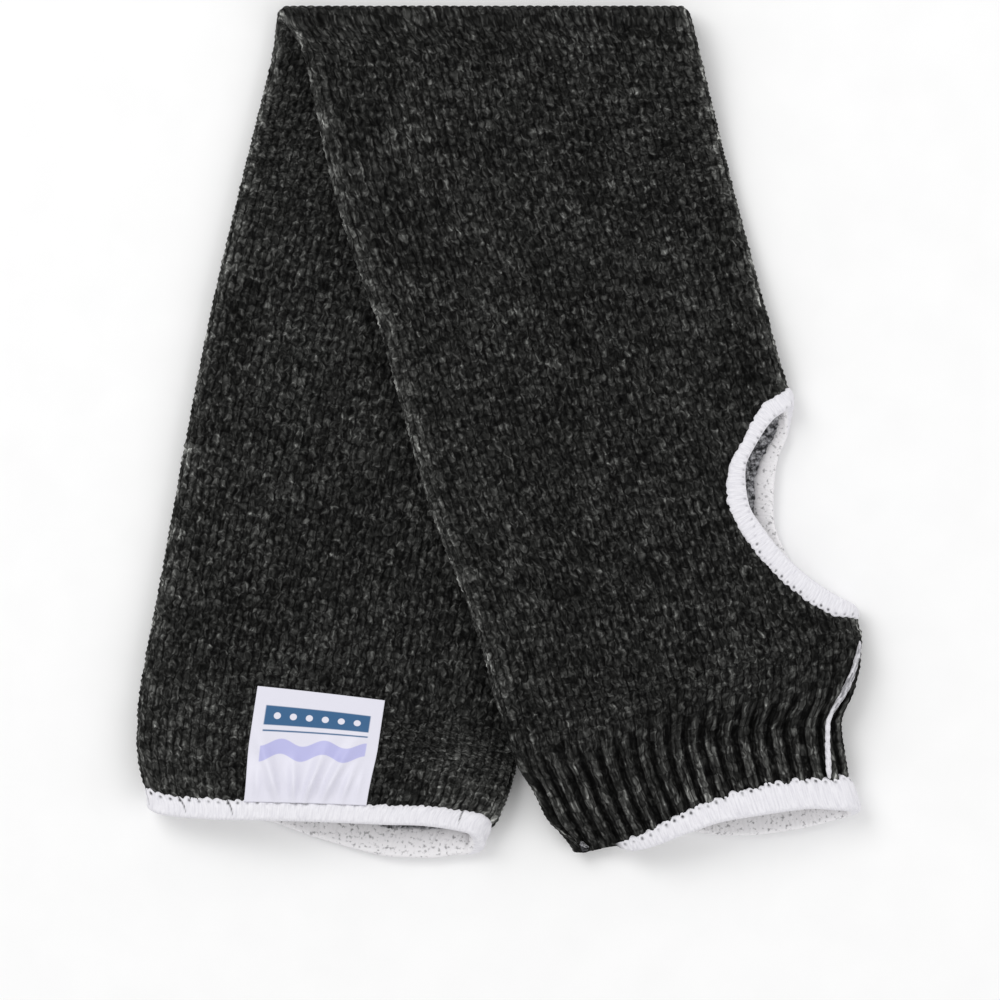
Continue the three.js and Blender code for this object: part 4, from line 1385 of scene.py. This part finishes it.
band = printed(up, BAND)
line = printed(up, LINE)
wave = satin.math("MULTIPLY", satin.math("SINE", satin.math("MULTIPLY", over, 6 * math.pi)), 0.035)
stripe = printed(satin.math("ADD", up, wave), STRIPE)
aside = satin.math("SUBTRACT", satin.math("FRACT", satin.math("MULTIPLY", over, DOT_COUNT)), 0.5)
off_row = satin.math("SUBTRACT", up, DOT_ROW)
off_row = satin.math("MULTIPLY", off_row, DOT_COUNT * LABEL_HEIGHT / LABEL_WIDTH)
squares = satin.math("ADD", satin.math("POWER", aside, 2.0), satin.math("POWER", off_row, 2.0))
dots = satin.math("MULTIPLY", satin.step(satin.math("SQRT", squares), 0.24, 0.2), between(over, *DOTTED))
print("label print drawn")

# %% [markdown]
# Satin shines more than the knit and has a fine weave, made of two crossing waves. It darkens the
# colour a little and gives the bump that breaks up the shine.

# %% Label finish
BLUE_INK = (0.013, 0.1, 0.24, 1.0)
LAVENDER_INK = (0.5, 0.5, 0.8, 1.0)
SATIN_WHITE = (0.78, 0.77, 0.86, 1.0)
WEAVE_SHADE = (0.35, 0.35, 0.45, 1.0)
WEFTS, WARPS = 150, 120

print_colour = satin.blend(stripe, SATIN_WHITE, LAVENDER_INK)
print_colour = satin.blend(satin.math("ADD", band, line, clamp=True), print_colour, BLUE_INK)
print_colour = satin.blend(dots, print_colour, SATIN_WHITE)
weft = satin.math("SINE", satin.math("MULTIPLY", up, 2 * math.pi * WEFTS))
warp = satin.math("SINE", satin.math("MULTIPLY", over, 2 * math.pi * WARPS))
weave = satin.math("MULTIPLY_ADD", satin.math("MULTIPLY", weft, warp), 0.5, 0.5)
satin.colour(satin.blend(satin.math("MULTIPLY", weave, 0.08), print_colour, WEAVE_SHADE))
satin.relief(weave, 0.15, 0.0001)
print("label finish made")

# %% [markdown]
# The label is caught in the hem, which draws it together. So it stands in small pleats at its
# lower edge, and they run out towards the top. Each pleat is a soft bump across the label that
# leans, widens and fades on its way up.

# %% Pleats of the label
LABEL_STEPS = (120, 110)
# Place of each pleat along the hem, its lean, width, rise and how far up it runs.
PLEATS = np.array([
    (0.1, -0.05, 0.04, 1.2, 0.5), (0.27, -0.34, 0.05, 2.3, 0.85), (0.4, -0.1, 0.04, 2.4, 0.5),
    (0.49, 0.24, 0.045, 2.8, 0.7), (0.63, 0.34, 0.05, 2.4, 0.8), (0.79, 0.2, 0.04, 1.6, 0.55),
    (0.91, 0.04, 0.03, 0.8, 0.4),
])

over_steps, up_steps = (np.linspace(0, 1, count + 1) for count in LABEL_STEPS)
over_at, up_at = np.meshgrid(over_steps, up_steps)


def pleat_height(place, lean, wide, rise, long):
    off = (over_at - place - lean * up_at) / (wide * (0.7 + 1.3 * up_at))
    return rise * np.exp(-(off**2)) * (1 - smooth(up_at / long))


held_down = 0.3 + 0.7 * smooth(up_at / 0.16)
pleats = held_down * sum(pleat_height(*pleat) for pleat in PLEATS)
print("highest pleat", round(float(pleats.max()), 2), "mm")

# %% [markdown]
# Like the knit, the label is laid with the sleeve's own formula, a little above the cloth. Its
# lower edge goes under the hem, and it hangs a little askew, as a label sewn in by hand does.

# %% Label
LABEL_FROM_MIDDLE = -0.15 * HALF_WIDTH
LABEL_SKEW = 0.1
LABEL_THICKNESS = 0.4
GATHER_SHARE = 0.05
TUCKED_IN = 1.2

label_length = LABEL_HEIGHT + TUCKED_IN
hem_line = ARM_REACH - EDGE_COVER - 2 * CLEARANCE + TUCKED_IN
top_line = hem_line - label_length


def slid(line):
    return float(slide(np.array([-line]), LABEL_FROM_MIDDLE, 0.0)[0])


def arm_girth(station, across):
    section = section_at(station)
    return -(section["arc"] + section["right"] - section["rim"] - across)


drawn = (slid(top_line) - slid(hem_line)) / label_length
across = LABEL_FROM_MIDDLE + LABEL_WIDTH * (over_at - 0.5) * (1 - GATHER_SHARE * (1 - smooth(2 * up_at)))
rise = (label_length + LABEL_SKEW * LABEL_WIDTH * (over_at - 0.5)) * up_at
station = -hem_line + rise / drawn
girth = arm_girth(station, across)
label_cloth = Cloth()
under = label_cloth.add(sleeve_point(station, girth, CLEARANCE + pleats), 0.0)
above = label_cloth.add(sleeve_point(station, girth, CLEARANCE + LABEL_THICKNESS + pleats), 0.0)
maps = np.stack([over_at, up_at], -1)
label_cloth.sheet_of(under, maps, 0)
label_cloth.sheet_of(above, maps, 0, flip=True)


def border(grid):
    return np.concatenate([grid[:-1, 0], grid[-1, :-1], grid[1:, -1][::-1], grid[0, 1:][::-1], grid[:1, 0]])


label_cloth.zip(border(under), border(above), 0)
satin_label = label_cloth.make("satin_label", [satin.material])

# %% [markdown]
# Last, every piece rides on the frame's one body, and the solid that it stands for is hidden. The
# knit and the label are sheets of cloth; the flat sizes of the knit's stretches are worked out below.

# %% Joining the pieces to the frame
STANDS_FOR = {
    "knit_tube": [upper_arm_knit, elbow_knit, hand_knit, ribbed_cuff],
    "upper_arm_hem": [upper_arm_hem],
    "wrist_hem": [wrist_hem],
    "thumb_hole_edging": [thumb_hole_edging],
    "cuff_seam": [cuff_seam],
    "label": [satin_label],
}
for node, made in STANDS_FOR.items():
    for piece in made:
        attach(piece, "root")
        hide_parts(node)
        print(piece.name, "stands for", node)

# %% [markdown]
# A flat size is what the piece would measure cut open and spread out: the mean way round the
# tube, times the length of its stretch along the sleeve.

# %% Flat sizes of the cloth
def flat_size(first, last):
    stations = np.linspace(first, last, 60)
    return float(2 * section_at(stations)["half"].mean()) * MM, (last - first) * MM


flat_size(-ARM_REACH, ELBOW_START)
flat_size(ELBOW_START, HAND_START)
flat_size(HAND_START, RIB_START)
flat_size(RIB_START, CUFF_REACH)
print("flat hand knit in m:", flat_size(HAND_START, RIB_START))
